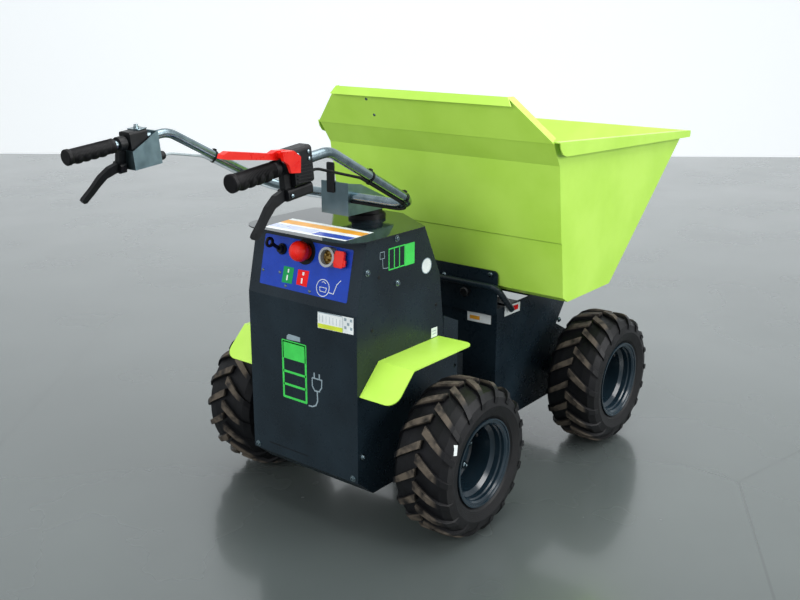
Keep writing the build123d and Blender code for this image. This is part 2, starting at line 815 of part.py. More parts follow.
with BuildPart() as ram_rod:
    with BuildSketch(ram_plane.offset(36)):
        Circle(ram_rod_radius)
    extrude(amount=ram_length - 36 - ram_eye_radius + 2)
    with BuildSketch(Plane.XZ):
        with Locations((ram_eye_x, ram_eye_z)):
            Circle(ram_eye_radius)
    extrude(amount=ram_eye_half, both=True)
    with Locations(Location((ram_eye_x, 0, ram_eye_z), (90, 0, 0))):
        Cylinder(ram_pin_radius + running_gap, 40, mode=Mode.SUBTRACT)
ram_rod.part.label = "ram_rod"
export_step(ram_rod.part, "parts/ram_rod.step")

with BuildPart() as ram_pin:
    with Locations(Location((ram_base_x, 0, ram_base_z), (90, 0, 0))):
        Cylinder(ram_pin_radius, 74)
ram_pin.part.label = "ram_pin"
export_step(ram_pin.part, "parts/ram_pin.step")

# ================================================================ handlebar
grip_start = Vector(grip_end[0], grip_y, grip_end[1])
crest = Vector(bar_crest[0], grip_y - 4, bar_crest[1])
grip_towards = (crest - grip_start).normalized()
bar_start = grip_start + grip_towards * 4
half_route = [bar_start, crest, Vector(bar_front[0], bar_front_half, bar_front[1])]
with BuildPart() as handlebar:
    with BuildLine() as bar_path:
        FilletPolyline(
            *half_route,
            *[Vector(spot.X, -spot.Y, spot.Z) for spot in reversed(half_route)],
            radius=[70, 80, 80, 70],
        )
    with BuildSketch(Plane(origin=bar_path.line @ 0, z_dir=bar_path.line % 0)):
        Circle(bar_radius)
        Circle(bar_radius - bar_wall, mode=Mode.SUBTRACT)
    sweep()
handlebar.part.label = "handlebar"
export_step(handlebar.part, "parts/handlebar.step")

grip_plane = Plane(origin=grip_start, x_dir=(0, 1, 0), z_dir=grip_towards)
grip_bore = bar_radius + seat_gap / 3
with BuildPart() as left_grip:
    with BuildSketch(Plane.XZ):
        with BuildLine():
            Polyline(
                (0, 0),
                (grip_radius, 0),
                (grip_radius + 2, 2),
                (grip_radius + 2, 9),
                (grip_radius, 13),
                (grip_radius - 1, grip_length - 12),
                (grip_radius + 1, grip_length - 6),
                (grip_radius + 1, grip_length),
                (grip_bore, grip_length),
                (grip_bore, 3.7),
                (0, 3.7),
                close=True,
            )
        make_face()
    revolve(axis=Axis.Z)
left_grip_part = left_grip.part.moved(grip_plane.location)
with BuildPart() as left_grip:
    add(left_grip_part)
with BuildPart() as right_grip:
    mirror(left_grip.part, about=Plane.XZ)
for grip_name, grip in (("left_grip", left_grip), ("right_grip", right_grip)):
    grip.part.label = grip_name
    export_step(grip.part, f"parts/{grip_name}.step")

# lever perch clamped on each side, with its brake lever
perch_at = 134  # rear face of the perch, from the end of the bar's grip
perch_depth = 18
hull_top = -44
hull_low = -68
clamp_bore = bar_radius + seat_gap / 3
lever_outline = [  # distance along the bar, height from its centre
    (perch_at - seat_gap, hull_top),
    (108, -50),
    (84, -66),
    (62, -90),
    (41, -109),
    (38, -114),
    (42, -120),
    (50, -121),
    (71, -103),
    (84, -90),
    (104, -74),
    (perch_at - seat_gap, -66),
]
lever_table = [  # side name, side, front end of the perch's hull, turn about the bar
    ("left", 1, perch_at + 17, 16),
    ("right", -1, 204, 0),
]
for side_name, lever_side, hull_end, lever_turn in lever_table:
    with BuildPart() as perch:
        with BuildSketch(Plane.XY.offset(perch_at)):
            Circle(17)
            with Locations((0, hull_top / 2 - 6)):
                Rectangle(15, -hull_top)
            Circle(clamp_bore, mode=Mode.SUBTRACT)
        extrude(amount=perch_depth)
        with BuildSketch(Plane.XY.offset(perch_at)):
            with Locations((0, (hull_top + hull_low) / 2)):
                RectangleRounded(30, hull_top - hull_low, 6)
        extrude(amount=hull_end - perch_at)
    with BuildPart() as brake_lever:
        with BuildSketch(Plane.YZ):
            with BuildLine():
                Polyline(*[(height, along) for along, height in lever_outline], close=True)
            make_face()
        extrude(amount=5.5, both=True)
    for form, piece_name in ((perch, "perch"), (brake_lever, "brake_lever")):
        placed = form.part.moved(grip_plane.location * Location((0, 0, 0), (0, 0, lever_turn)))
        with BuildPart() as bar_piece:
            if lever_side > 0:
                add(placed)
            else:
                mirror(placed, about=Plane.XZ)
        bar_piece.part.label = f"{side_name}_{piece_name}"
        export_step(bar_piece.part, f"parts/{side_name}_{piece_name}.step")

# folded bracket that holds the handlebar, on its round base
bracket_half = 44
bracket_rear = rear_axle_x - 89
bracket_front = rear_axle_x + 91
bracket_low = 784
bracket_wall = 4
with BuildPart() as bar_bracket:
    for side in (1, -1):
        with BuildSketch(Plane.XZ.offset(-side * (bracket_half - bracket_wall / 2))):
            with BuildLine():
                Polyline(
                    (bracket_rear, bracket_low),
                    (bracket_front, bracket_low),
                    (bracket_front - 20, bracket_low + 22),
                    (bar_front[0] + 30, bar_front[1] + 26),
                    (bracket_rear, bar_front[1] + 34),
                    close=True,
                )
            make_face()
            with Locations((bar_front[0], bar_front[1])):
                Circle(bar_radius + seat_gap / 3, mode=Mode.SUBTRACT)
        extrude(amount=bracket_wall / 2, both=True)
    with Locations(((bracket_rear + bracket_front) / 2, 0, bracket_low)):
        Box(bracket_front - bracket_rear, 2 * (bracket_half - bracket_wall), bracket_wall, align=on_base)
    with Locations((bracket_rear + bracket_wall / 2, 0, (bracket_low + bar_front[1] + 34) / 2)):
        Box(bracket_wall, 2 * (bracket_half - bracket_wall), bar_front[1] + 34 - bracket_low)
bar_bracket.part.label = "bar_bracket"
export_step(bar_bracket.part, "parts/bar_bracket.step")

base_x = rear_axle_x + 34
with BuildPart() as bar_base:
    with BuildSketch(Plane.XZ):
        with BuildLine():
            Polyline(
                (0, cover_z),
                (48, cover_z),
                (48, cover_z + 10),
                (40, cover_z + 14),
                (40, bracket_low),
                (0, bracket_low),
                close=True,
            )
        make_face()
    revolve(axis=Axis.Z)
bar_base_part = bar_base.part.moved(Location((base_x, 0, 0)))
with BuildPart() as bar_base:
    add(bar_base_part)
bar_base.part.label = "bar_base"
export_step(bar_base.part, "parts/bar_base.step")

# ================================================================ controls
panel_plane = Plane(
    origin=(cabinet_rear, 0, bend_z),
    x_dir=(0, -1, 0),
    z_dir=(-cos(radians(panel_lean)), 0, sin(radians(panel_lean))),
)
stop_at = (-4, 126)  # on the panel: across to the right, and up the slope from the bend
socket_at = (82, 125)
with BuildPart() as stop_button:
    with BuildSketch(Plane.XZ):
        with BuildLine():
            Polyline(
                (0, 0),
                (20, 0),
                (20, 17),
                (25, 17),
                (25, 25),
                (22, 30),
                (15, 34),
                (0, 36),
                close=True,
            )
        make_face()
    revolve(axis=Axis.Z)
stop_button_part = stop_button.part.moved(panel_plane.location * Location((*stop_at, 0)))
with BuildPart() as stop_button:
    add(stop_button_part)
stop_button.part.label = "stop_button"
export_step(stop_button.part, "parts/stop_button.step")

with BuildPart() as charge_socket:
    with BuildSketch(panel_plane):
        with Locations(socket_at):
            Circle(24)
    extrude(amount=22)
    with BuildSketch(panel_plane.offset(22)):
        with Locations(socket_at):
            Circle(18)
    extrude(amount=-14, mode=Mode.SUBTRACT)
charge_socket.part.label = "charge_socket"
export_step(charge_socket.part, "parts/charge_socket.step")

# folded switch box on the left arm, open above, with the switch unit in it
box_rear = perch_at + perch_depth + 1
box_front = box_rear + 76
box_half = 27
box_low = -61
box_sheet = 2.5
with BuildPart() as switch_box_form:
    with BuildSketch(Plane.YZ):
        with BuildLine():
            Polyline((box_low, box_rear), (-18, box_rear), (15, box_front), (box_low, box_front), close=True)
        make_face()
    extrude(amount=box_half, both=True)
    with BuildSketch(Plane.XY.offset(box_rear + box_sheet)):
        with Locations((0, 0)):
            Rectangle(2 * (box_half - box_sheet), -2 * (box_low + box_sheet))
    extrude(amount=box_front - box_rear - 2 * box_sheet, mode=Mode.SUBTRACT)
    with BuildSketch(Plane.XY.offset(box_rear)):
        Circle(clamp_bore)
    extrude(amount=box_front - box_rear, mode=Mode.SUBTRACT)
with BuildPart() as switch_unit_form:
    with BuildSketch(Plane.XY.offset(box_rear + 4)):
        with Locations((0, 2)):
            RectangleRounded(40, 44, 6)
        Circle(clamp_bore, mode=Mode.SUBTRACT)
    extrude(amount=48)
for piece_name, form in (("switch_box", switch_box_form), ("switch_unit", switch_unit_form)):
    placed = form.part.moved(grip_plane.location)
    with BuildPart() as bar_piece:
        add(placed)
    bar_piece.part.label = piece_name
    export_step(bar_piece.part, f"parts/{piece_name}.step")

# case of the drive lever on the right grip, and the lever itself
case_rear = perch_at + perch_depth + 1
case_front = 206
case_low = hull_top + 0.5
case_high = 31
case_half = 19
with BuildPart() as drive_case_form:
    with BuildSketch(Plane.XY.offset(case_rear)):
        with Locations((0, (case_low + case_high) / 2)):
            RectangleRounded(2 * case_half, case_high - case_low, 8)
        Circle(clamp_bore, mode=Mode.SUBTRACT)
    extrude(amount=case_front - case_rear)
lever_start = case_half + seat_gap  # inner face of the lever's root, on the case's outer side
finger_outline = [  # distance along the bar, height from its centre
    (-15, 51),
    (-11, 58),
    (2, 61),
    (110, 33),
    (122, 36),
    (case_rear - 2, 31),
    (case_rear - 2, 20),
    (119, 18),
    (-4, 47),
]
root_outline = [
    (119, 18),
    (119, 36),
    (150, 31),
    (167, 16),
    (162, -15),
    (137, -10),
    (132, 7),
]
lever_slabs = [  # outline, from, to, across the bar
    (finger_outline, -8, 8),
    (root_outline, lever_start, lever_start + 7),
]
with BuildPart() as drive_lever_form:
    for outline, slab_from, slab_to in lever_slabs:
        with BuildSketch(Plane.YZ.offset(slab_from)):
            with BuildLine():
                Polyline(*[(height, along) for along, height in outline], close=True)
            make_face()
        extrude(amount=slab_to - slab_from)
    with Locations((lever_start / 2, 27, 136)):
        Box(lever_start + 4, 9, 28)
for piece_name, form in (("drive_case", drive_case_form), ("drive_lever", drive_lever_form)):
    placed = form.part.moved(grip_plane.location)
    with BuildPart() as bar_piece:
        mirror(placed, about=Plane.XZ)
    bar_piece.part.label = piece_name
    export_step(bar_piece.part, f"parts/{piece_name}.step")

# control cables, held along the underside of each arm and ending at the bracket
cable_radius = 3
slope = (half_route[2] - crest).normalized()
under = Vector(slope.Z, 0, -slope.X).normalized() * (bar_radius + cable_radius + seat_gap)
cable_table = [  # piece name, side, start across the bar, height from its centre, distance along the bar
    ("left_cable", 1, -14, -47, box_front + seat_gap),
    ("right_cable", -1, -4, -28, case_front + seat_gap),
]
for piece_name, cable_side, start_across, start_height, start_along in cable_table:
    cable_start = grip_plane.from_local_coords(Vector(start_across, start_height, start_along))
    cable_turn = grip_plane.from_local_coords(Vector(start_across, start_height, start_along + 34))
    with BuildPart() as cable_form:
        with BuildLine() as cable_path:
            FilletPolyline(
                cable_start,
                cable_turn,
                crest + slope * 120 + under,
                half_route[2] + under,
                Vector(half_route[2].X, bracket_half + seat_gap, half_route[2].Z) + under,
                radius=[60, 80, 80],
            )
        with BuildSketch(Plane(origin=cable_path.line @ 0, z_dir=cable_path.line % 0)):
            Circle(cable_radius)
        sweep()
    with BuildPart() as cable:
        if cable_side > 0:
            add(cable_form.part)
        else:
            mirror(cable_form.part, about=Plane.XZ)
    cable.part.label = piece_name
    export_step(cable.part, f"parts/{piece_name}.step")
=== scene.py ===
import math
import bmesh
import bpy
from mathutils import Matrix, Vector


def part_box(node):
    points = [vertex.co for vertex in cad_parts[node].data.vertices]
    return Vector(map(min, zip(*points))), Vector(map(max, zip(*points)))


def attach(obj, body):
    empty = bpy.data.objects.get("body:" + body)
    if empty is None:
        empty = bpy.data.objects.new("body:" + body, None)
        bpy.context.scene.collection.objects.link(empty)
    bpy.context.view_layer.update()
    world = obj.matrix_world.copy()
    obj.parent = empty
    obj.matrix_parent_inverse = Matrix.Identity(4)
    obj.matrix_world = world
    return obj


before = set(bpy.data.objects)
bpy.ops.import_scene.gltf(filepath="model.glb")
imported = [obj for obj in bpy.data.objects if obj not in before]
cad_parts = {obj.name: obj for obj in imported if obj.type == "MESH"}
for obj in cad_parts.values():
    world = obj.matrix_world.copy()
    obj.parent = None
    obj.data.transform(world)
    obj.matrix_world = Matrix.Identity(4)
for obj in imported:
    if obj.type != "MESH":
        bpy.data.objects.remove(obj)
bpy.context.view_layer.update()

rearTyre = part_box("tyre_rear_right")
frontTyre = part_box("tyre_front_right")
axleX = (rearTyre[0][0] + rearTyre[1][0]) / 2
frontAxleX = (frontTyre[0][0] + frontTyre[1][0]) / 2
axleZ = (rearTyre[0][2] + rearTyre[1][2]) / 2


# colours and materials

def hexColor(code):
    # sRGB hex to Blender's linear colour
    parts = [int(code[i:i + 2], 16) / 255 for i in (0, 2, 4)]
    linear = [p / 12.92 if p <= 0.04045 else ((p + 0.055) / 1.055) ** 2.4 for p in parts]
    return (*linear, 1)


def addNode(tree, kind, settings=None, links=None):
    # one node: plain settings by attribute name, inputs by index or name, each a value or a socket
    node = tree.nodes.new(kind)
    for name, value in (settings or {}).items():
        setattr(node, name, value)
    for name, value in (links or {}).items():
        if isinstance(value, bpy.types.NodeSocket):
            tree.links.new(value, node.inputs[name])
        else:
            node.inputs[name].default_value = value
    return node


def newMaterial(name, settings):
    # a material whose shader sockets hold the values that are the same everywhere
    material = bpy.data.materials.new(name)
    material.use_nodes = True
    shader = material.node_tree.nodes["Principled BSDF"]
    for key, value in settings.items():
        shader.inputs[key].default_value = value
    return material, material.node_tree, shader


def colorSpread(tree, shader, vector, low, high, scale, detail=3, span=(0.35, 0.65)):
    # base colour wandering between two tones over patches of the given scale
    noise = addNode(tree, "ShaderNodeTexNoise", {}, {"Vector": vector, "Scale": scale, "Detail": detail})
    ramp = addNode(tree, "ShaderNodeMapRange", {}, {
        "Value": noise.outputs["Fac"], "From Min": span[0], "From Max": span[1],
    })
    mix = addNode(tree, "ShaderNodeMix", {"data_type": "RGBA"}, {
        0: ramp.outputs[0], 6: hexColor(low), 7: hexColor(high),
    })
    tree.links.new(mix.outputs[2], shader.inputs["Base Color"])
    return mix.outputs[2]


def roughSpread(tree, shader, vector, low, high, scale):
    # roughness wandering between two values
    noise = addNode(tree, "ShaderNodeTexNoise", {}, {"Vector": vector, "Scale": scale, "Detail": 4})
    ramp = addNode(tree, "ShaderNodeMapRange", {}, {
        "Value": noise.outputs["Fac"], "From Min": 0.3, "From Max": 0.7, "To Min": low, "To Max": high,
    })
    tree.links.new(ramp.outputs[0], shader.inputs["Roughness"])


def surfaceBump(tree, shader, vector, scale, depth):
    # fine unevenness of the surface, its depth in metres
    noise = addNode(tree, "ShaderNodeTexNoise", {}, {"Vector": vector, "Scale": scale, "Detail": 2})
    bump = addNode(tree, "ShaderNodeBump", {}, {
        "Height": noise.outputs["Fac"], "Distance": depth, "Strength": 1.0,
    })
    tree.links.new(bump.outputs[0], shader.inputs["Normal"])


def objectVector(tree):
    return addNode(tree, "ShaderNodeTexCoord").outputs["Object"]


coats = {
    # powder coats and enamels: two colours, roughness from and to, reflection level,
    # spacing of the surface texture in mm and its depth in m
    # smooth polyester powder on folded sheet: even colour, faint orange peel, soft highlights
    "limePowderCoat": ("aedc50", "b8e45c", (0.30, 0.42), 0.5, 1.6, 0.00004),
    # fine satin powder on welded steel: mirrors bright neighbours faintly
    "anthracitePowderCoat": ("131d24", "1a262e", (0.24, 0.34), 0.3, 0.9, 0.00010),
    # gloss enamel on the flat lid: nearly a mirror
    "coverEnamel": ("0f171c", "141d22", (0.05, 0.10), 0.5, 3.0, 0.00001),
    # wet enamel sprayed on the pressed rims: glossy, with long highlights
    "rimEnamel": ("16242d", "1e2e38", (0.12, 0.24), 0.5, 2.0, 0.00003),
    # brushed paint over sand casting: dull and grainy
    "blackCasting": ("0d0f12", "15181c", (0.45, 0.6), 0.3, 1.2, 0.00015),
}
coatPatches = {"color": 7, "rough": 40}    # patches in a metre
materials = {}
for name, (low, high, rough, reflection, grain, depth) in coats.items():
    material, tree, shader = newMaterial(name, {
        "Metallic": 0.0, "IOR": 1.5, "Specular IOR Level": reflection,
    })
    vector = objectVector(tree)
    colorSpread(tree, shader, vector, low, high, coatPatches["color"])
    roughSpread(tree, shader, vector, *rough, coatPatches["rough"])
    surfaceBump(tree, shader, vector, 1000 / grain / 2, depth)
    materials[name] = material
print("coats ready")

# camera, floor and light

cameraView = {
    "place": (-2.09255, -1.6035, 1.2723),
    "heading": 38.097,   # degrees from forward towards the machine's left
    "tilt": 16.5,        # degrees down
    "roll": 0.26,
    "lens": 44.27,
}


def makeCamera(view):
    heading, tilt, roll = (math.radians(view[k]) for k in ("heading", "tilt", "roll"))
    ahead = Vector((math.cos(heading) * math.cos(tilt), math.sin(heading) * math.cos(tilt), -math.sin(tilt)))
    right = Vector((math.sin(heading), -math.cos(heading), 0))
    up = right.cross(ahead)
    rolledRight = right * math.cos(roll) + up * math.sin(roll)
    rolledUp = up * math.cos(roll) - right * math.sin(roll)
    camera = bpy.data.objects.new("camera", bpy.data.cameras.new("camera"))
    camera.data.lens = view["lens"]
    camera.data.clip_end = 60
    turn = Matrix((rolledRight, rolledUp, -ahead)).transposed().to_4x4()
    camera.matrix_world = Matrix.Translation(view["place"]) @ turn
    bpy.context.scene.collection.objects.link(camera)
    bpy.context.scene.camera = camera


makeCamera(cameraView)

studio = {
    "floorHalf": 30.0,
    "floorColors": ("474e4d", "525958"),
    "cloudScale": 0.9,             # patches in a metre: the colour's, then the roughness's
    "polishScale": 1.5,
    "floorRough": (0.22, 0.30),
    "floorReflection": 0.85,
    "floorCoat": (0.55, 0.1),      # clear sealer: weight and roughness
    "seamScale": 0.42,             # fine cracks: their spacing, width and darkest tone
    "seamWidth": (0.0006, 0.0018),
    "seamTone": 0.8,
    "wallAhead": 8.9,              # from the camera to the foot of the wall
    "wallHalf": 14.0,
    "wallHigh": 6.0,
    "wallColor": "f2f6f8",
    "wallGlow": 0.34,
    "skyColor": "f4f7fa",
    "skyStrength": 0.72,
}


def makeStudio(room):
    # sealed concrete: cloudy grey with soft long reflections and a few hairline cracks
    weight, coatRough = room["floorCoat"]
    material, tree, shader = newMaterial("polishedConcrete", {
        "Specular IOR Level": room["floorReflection"], "Coat Weight": weight, "Coat Roughness": coatRough,
    })
    vector = objectVector(tree)
    tone = colorSpread(tree, shader, vector, *room["floorColors"], room["cloudScale"], 9, (0.3, 0.7))
    roughSpread(tree, shader, vector, *room["floorRough"], room["polishScale"])
    cells = addNode(tree, "ShaderNodeTexVoronoi", {"feature": "DISTANCE_TO_EDGE"}, {
        "Vector": vector, "Scale": room["seamScale"],
    })
    seam = addNode(tree, "ShaderNodeMapRange", {}, {
        "Value": cells.outputs["Distance"],
        "From Min": room["seamWidth"][0],
        "From Max": room["seamWidth"][1],
        "To Min": room["seamTone"],
        "To Max": 1.0,
    })
    dark = addNode(tree, "ShaderNodeMix", {"data_type": "RGBA", "blend_type": "MULTIPLY"}, {
        0: 1.0, 6: tone, 7: seam.outputs[0],
    })
    tree.links.new(dark.outputs[2], shader.inputs["Base Color"])
    bpy.ops.mesh.primitive_plane_add(size=2 * room["floorHalf"])
    floor = bpy.context.object
    floor.name = "floor"
    floor.data.materials.append(material)
    # matt white paint, lit from within a little so that it stays even
    wallMaterial = newMaterial("paintedWall", {
        "Base Color": hexColor(room["wallColor"]),
        "Roughness": 0.9,
        "Emission Color": hexColor(room["wallColor"]),
        "Emission Strength": room["wallGlow"],
    })[0]
    heading = math.radians(cameraView["heading"])
    ahead = Vector((math.cos(heading), math.sin(heading), 0))
    side = Vector((-ahead.y, ahead.x, 0))
    foot = Vector(cameraView["place"])
    foot.z = 0
    foot += ahead * room["wallAhead"]
    corners = [foot - side * room["wallHalf"], foot + side * room["wallHalf"]]
    corners += [corner + Vector((0, 0, room["wallHigh"])) for corner in reversed(corners)]
    mesh = bpy.data.meshes.new("wall")
    mesh.from_pydata(corners, [], [(0, 1, 2, 3)])
    mesh.materials.append(wallMaterial)
    wall = bpy.data.objects.new("wall", mesh)
    bpy.context.scene.collection.objects.link(wall)
    world = bpy.data.worlds.new("studio")
    bpy.context.scene.world = world
    world.use_nodes = True
    world.node_tree.nodes["Background"].inputs[0].default_value = hexColor(room["skyColor"])
    world.node_tree.nodes["Background"].inputs[1].default_value = room["skyStrength"]


makeStudio(studio)

lamps = [
    # name, place, aim, size, power in watts
    ("ceilingLight", (0.3, -1.0, 4.0), (0.2, 0.0, 0.4), 3.5, 125),
    ("sideLight", (1.2, -5.0, 2.4), (0.3, 0.0, 0.5), 2.5, 160),
    ("rearLight", (3.5, 3.0, 3.4), (0.2, 0.0, 0.5), 3.0, 62),
    ("nearLight", (-4.8, -0.2, 1.5), (0.3, 0.0, 0.7), 4.2, 185),
]
for name, place, aim, size, power in lamps:
    data = bpy.data.lights.new(name, "AREA")
    data.shape = "SQUARE"
    data.size = size
    data.energy = power
    lamp = bpy.data.objects.new(name, data)
    lamp.location = place
    lamp.rotation_euler = (Vector(aim) - Vector(place)).to_track_quat("-Z", "Y").to_euler()
    # the low lights would otherwise mirror in the floor
    lamp.visible_glossy = name not in ("rearLight", "nearLight")
    bpy.context.scene.collection.objects.link(lamp)
bpy.context.scene.view_settings.view_transform = "Standard"
print("camera and studio ready")

# finishes of the other pieces

plainFinishes = {
    # low colour, high colour, metallic, reflection level, roughness from and to,
    # patch size in mm, grain in mm, bump in m
    # bright zinc over drawn tube: long sharp reflections
    "zincPlatedSteel": ("7d8f96", "93a4ab", 1.0, 0.5, (0.16, 0.28), 30, 4.0, 0.00001),
    # zinc with blue passivation on folded sheet: darker, cloudy and blue
    "bluePassivatedZinc": ("6c8188", "798f96", 1.0, 0.5, (0.30, 0.42), 45, 1.0, 0.00002),
    # moulded rubber and nylon: nearly black, blurred highlights, fine grain
    "gripRubber": ("08080a", "0d0d10", 0.0, 0.25, (0.42, 0.6), 20, 0.8, 0.00008),
    "mouldedBlackNylon": ("0a0b0d", "101215", 0.0, 0.3, (0.34, 0.5), 25, 0.8, 0.00008),
    # glossier moulded plastics of the lever, the stop button and the socket
    "mouldedRedNylon": ("d3140c", "de2414", 0.0, 0.5, (0.24, 0.36), 40, 1.0, 0.00004),
    "mouldedGreyNylon": ("8f9396", "a0a4a6", 0.0, 0.5, (0.4, 0.5), 40, 1.0, 0.00005),
    # stamped brass in the socket: warm and slightly dull
    "brassContacts": ("a88a4c", "bfa060", 1.0, 0.5, (0.3, 0.45), 8, 0.8, 0.00003),
    # extruded vinyl around the grey cable: smooth, with a soft sheen
    "cableSheath": ("98a4a9", "a8b4b8", 0.0, 0.4, (0.35, 0.5), 40, 2.0, 0.00003),
    # bare turned pins and the ram's rod: fine grain, silvery
    "turnedSteel": ("8d9194", "a3a7aa", 1.0, 0.5, (0.25, 0.4), 15, 0.4, 0.00002),
}
for name, (low, high, metallic, reflection, rough, patch, grain, depth) in plainFinishes.items():
    material, tree, shader = newMaterial(name, {"Metallic": metallic, "Specular IOR Level": reflection})
    vector = objectVector(tree)
    colorSpread(tree, shader, vector, low, high, 1000 / patch)
    roughSpread(tree, shader, vector, *rough, 2000 / patch)
    surfaceBump(tree, shader, vector, 1000 / grain / 2, depth)
    materials[name] = material

tyreLook = {
    "rubber": ("090a0c", "101114"),
    "rough": (0.5, 0.85),          # clean rubber, dusty rubber
    "dust": "544d44",              # dried dirt on the tops of the lugs
    "dustReach": (0.1895, 0.1945),  # metres from the axle where it begins and where it is full
    "clumpScale": 38,
    "clumpSpan": (0.34, 0.56),
    "clumpAmount": (0.1, 0.95),
    "ringPitch": 0.0045,           # fine moulded rings on the sidewall
    "ringReach": (0.150, 0.146),   # they fade in over this distance from the axle
    "ringHeight": 0.25,
    "grainScale": 420,
    "bumpDepth": 0.0004,
}


def mathNode(tree, operation, first, second=None):
    inputs = {0: first} if second is None else {0: first, 1: second}
    return addNode(tree, "ShaderNodeMath", {"operation": operation}, inputs).outputs[0]


def makeTyreRubber(look):
    # moulded tread rubber: dull black, with brown dust where the lugs touch the ground
    material, tree, shader = newMaterial("tyreRubber", {"Specular IOR Level": 0.3})
    vector = objectVector(tree)
    flat = addNode(tree, "ShaderNodeVectorMath", {"operation": "MULTIPLY"}, {0: vector, 1: (1, 0, 1)})
    reaches = [addNode(tree, "ShaderNodeVectorMath", {"operation": "DISTANCE"}, {
        0: flat.outputs[0], 1: (x, 0, axleZ),
    }).outputs["Value"] for x in (axleX, frontAxleX)]
    reach = mathNode(tree, "MINIMUM", *reaches)
    rubber = colorSpread(tree, shader, vector, *look["rubber"], 30)
    onTop = addNode(tree, "ShaderNodeMapRange", {}, {
        "Value": reach, "From Min": look["dustReach"][0], "From Max": look["dustReach"][1],
    }).outputs[0]
    patches = addNode(tree, "ShaderNodeTexNoise", {}, {
        "Vector": vector, "Scale": look["clumpScale"], "Detail": 6,
    })
    clumps = addNode(tree, "ShaderNodeMapRange", {}, {
        "Value": patches.outputs["Fac"],
        "From Min": look["clumpSpan"][0],
        "From Max": look["clumpSpan"][1],
        "To Min": look["clumpAmount"][0],
        "To Max": look["clumpAmount"][1],
    })
    amount = mathNode(tree, "MULTIPLY", onTop, clumps.outputs[0])
    dusty = addNode(tree, "ShaderNodeMix", {"data_type": "RGBA"}, {
        0: amount, 6: rubber, 7: hexColor(look["dust"]),
    })
    tree.links.new(dusty.outputs[2], shader.inputs["Base Color"])
    rough = addNode(tree, "ShaderNodeMapRange", {}, {
        "Value": amount, "To Min": look["rough"][0], "To Max": look["rough"][1],
    })
    tree.links.new(rough.outputs[0], shader.inputs["Roughness"])
    wave = mathNode(tree, "SINE", mathNode(tree, "MULTIPLY", reach, 2 * math.pi / look["ringPitch"]))
    inside = addNode(tree, "ShaderNodeMapRange", {}, {
        "Value": reach,
        "From Min": look["ringReach"][0],
        "From Max": look["ringReach"][1],
        "To Max": look["ringHeight"],
    })
    rings = mathNode(tree, "MULTIPLY", wave, inside.outputs[0])
    grain = addNode(tree, "ShaderNodeTexNoise", {}, {
        "Vector": vector, "Scale": look["grainScale"], "Detail": 3,
    })
    height = mathNode(tree, "ADD", rings, grain.outputs["Fac"])
    bump = addNode(tree, "ShaderNodeBump", {}, {"Height": height, "Distance": look["bumpDepth"]})
    tree.links.new(bump.outputs[0], shader.inputs["Normal"])
    return material


materials["tyreRubber"] = makeTyreRubber(tyreLook)

films = {
    # vinyl film printed in one solid colour under a thin clear laminate: even, with a soft shine
    # colour, roughness
    "printedBlueFilm": ("1c3fa6", 0.22),
    "printedGreenFilm": ("12924e", 0.25),
    "printedLightGreenFilm": ("44cc58", 0.3),
    "printedRedFilm": ("e01414", 0.25),
    "printedWhiteFilm": ("dde4e4", 0.35),
    "printedYellowFilm": ("c8d840", 0.35),
    "printedAmberFilm": ("dc9a28", 0.35),
    "printedGreyFilm": ("8a9ca4", 0.4),
    "printedPaleFilm": ("b4bedc", 0.3),
}
filmLook = {
    "laminate": (0.1, 0.12),       # clear coat: weight and roughness
    "fade": 0.94,                  # darkest tone of the colour
    "patches": (30, 50),           # in a metre: the colour's, the roughness's
    "roughSpan": (-0.06, 0.08),
    "grain": 700,
    "depth": 0.00002,
}


def fadedHex(code, share):
    return "".join("%02x" % int(int(code[i:i + 2], 16) * share) for i in (0, 2, 4))


for name, (color, rough) in films.items():
    material, tree, shader = newMaterial(name, {
        "Specular IOR Level": 0.25,
        "Coat Weight": filmLook["laminate"][0],
        "Coat Roughness": filmLook["laminate"][1],
    })
    vector = objectVector(tree)
    colorPatches, roughPatches = filmLook["patches"]
    colorSpread(tree, shader, vector, fadedHex(color, filmLook["fade"]), color, colorPatches)
    roughSpread(tree, shader, vector, *(rough + change for change in filmLook["roughSpan"]), roughPatches)
    surfaceBump(tree, shader, vector, filmLook["grain"], filmLook["depth"])
    materials[name] = material
print("films ready")

# helpers that build the added pieces; lengths are millimetres on a face

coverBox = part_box("rear_cover")
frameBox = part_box("rear_frame")
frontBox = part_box("front_frame")
controlPanel = {"lean": math.radians(12.5), "foot": 0.585}    # from upright; height of the bend in m


def makeFace(origin, right, up):
    # a flat face to draw on, from its origin and its right and up directions
    right, up = Vector(right).normalized(), Vector(up).normalized()
    return {"origin": Vector(origin), "right": right, "up": up, "out": right.cross(up)}


panelUp = (math.sin(controlPanel["lean"]), 0, math.cos(controlPanel["lean"]))
faces = {
    # right and up as seen by someone looking at the face
    "panel": makeFace((coverBox[0][0], 0, controlPanel["foot"]), (0, -1, 0), panelUp),
    "rear": makeFace((coverBox[0][0], 0, 0), (0, -1, 0), (0, 0, 1)),
    "side": makeFace((axleX, frameBox[0][1], 0), (1, 0, 0), (0, 0, 1)),
    "otherSide": makeFace((axleX, frameBox[1][1], 0), (-1, 0, 0), (0, 0, 1)),
    "cover": makeFace((axleX, 0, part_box("top_cover")[1][2]), (0, -1, 0), (1, 0, 0)),
    "guard": makeFace((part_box("tub_guard")[0][0], 0, 0), (0, -1, 0), (0, 0, 1)),
    "frontPanel": makeFace((frontBox[0][0], 0, 0), (0, -1, 0), (0, 0, 1)),
    "frontSide": makeFace((axleX, frontBox[0][1], 0), (1, 0, 0), (0, 0, 1)),
    "otherFrontSide": makeFace((axleX, frontBox[1][1], 0), (-1, 0, 0), (0, 0, 1)),
}


def onFace(face, right, up, out=0.0):
    return face["origin"] + (face["right"] * right + face["up"] * up + face["out"] * out) / 1000


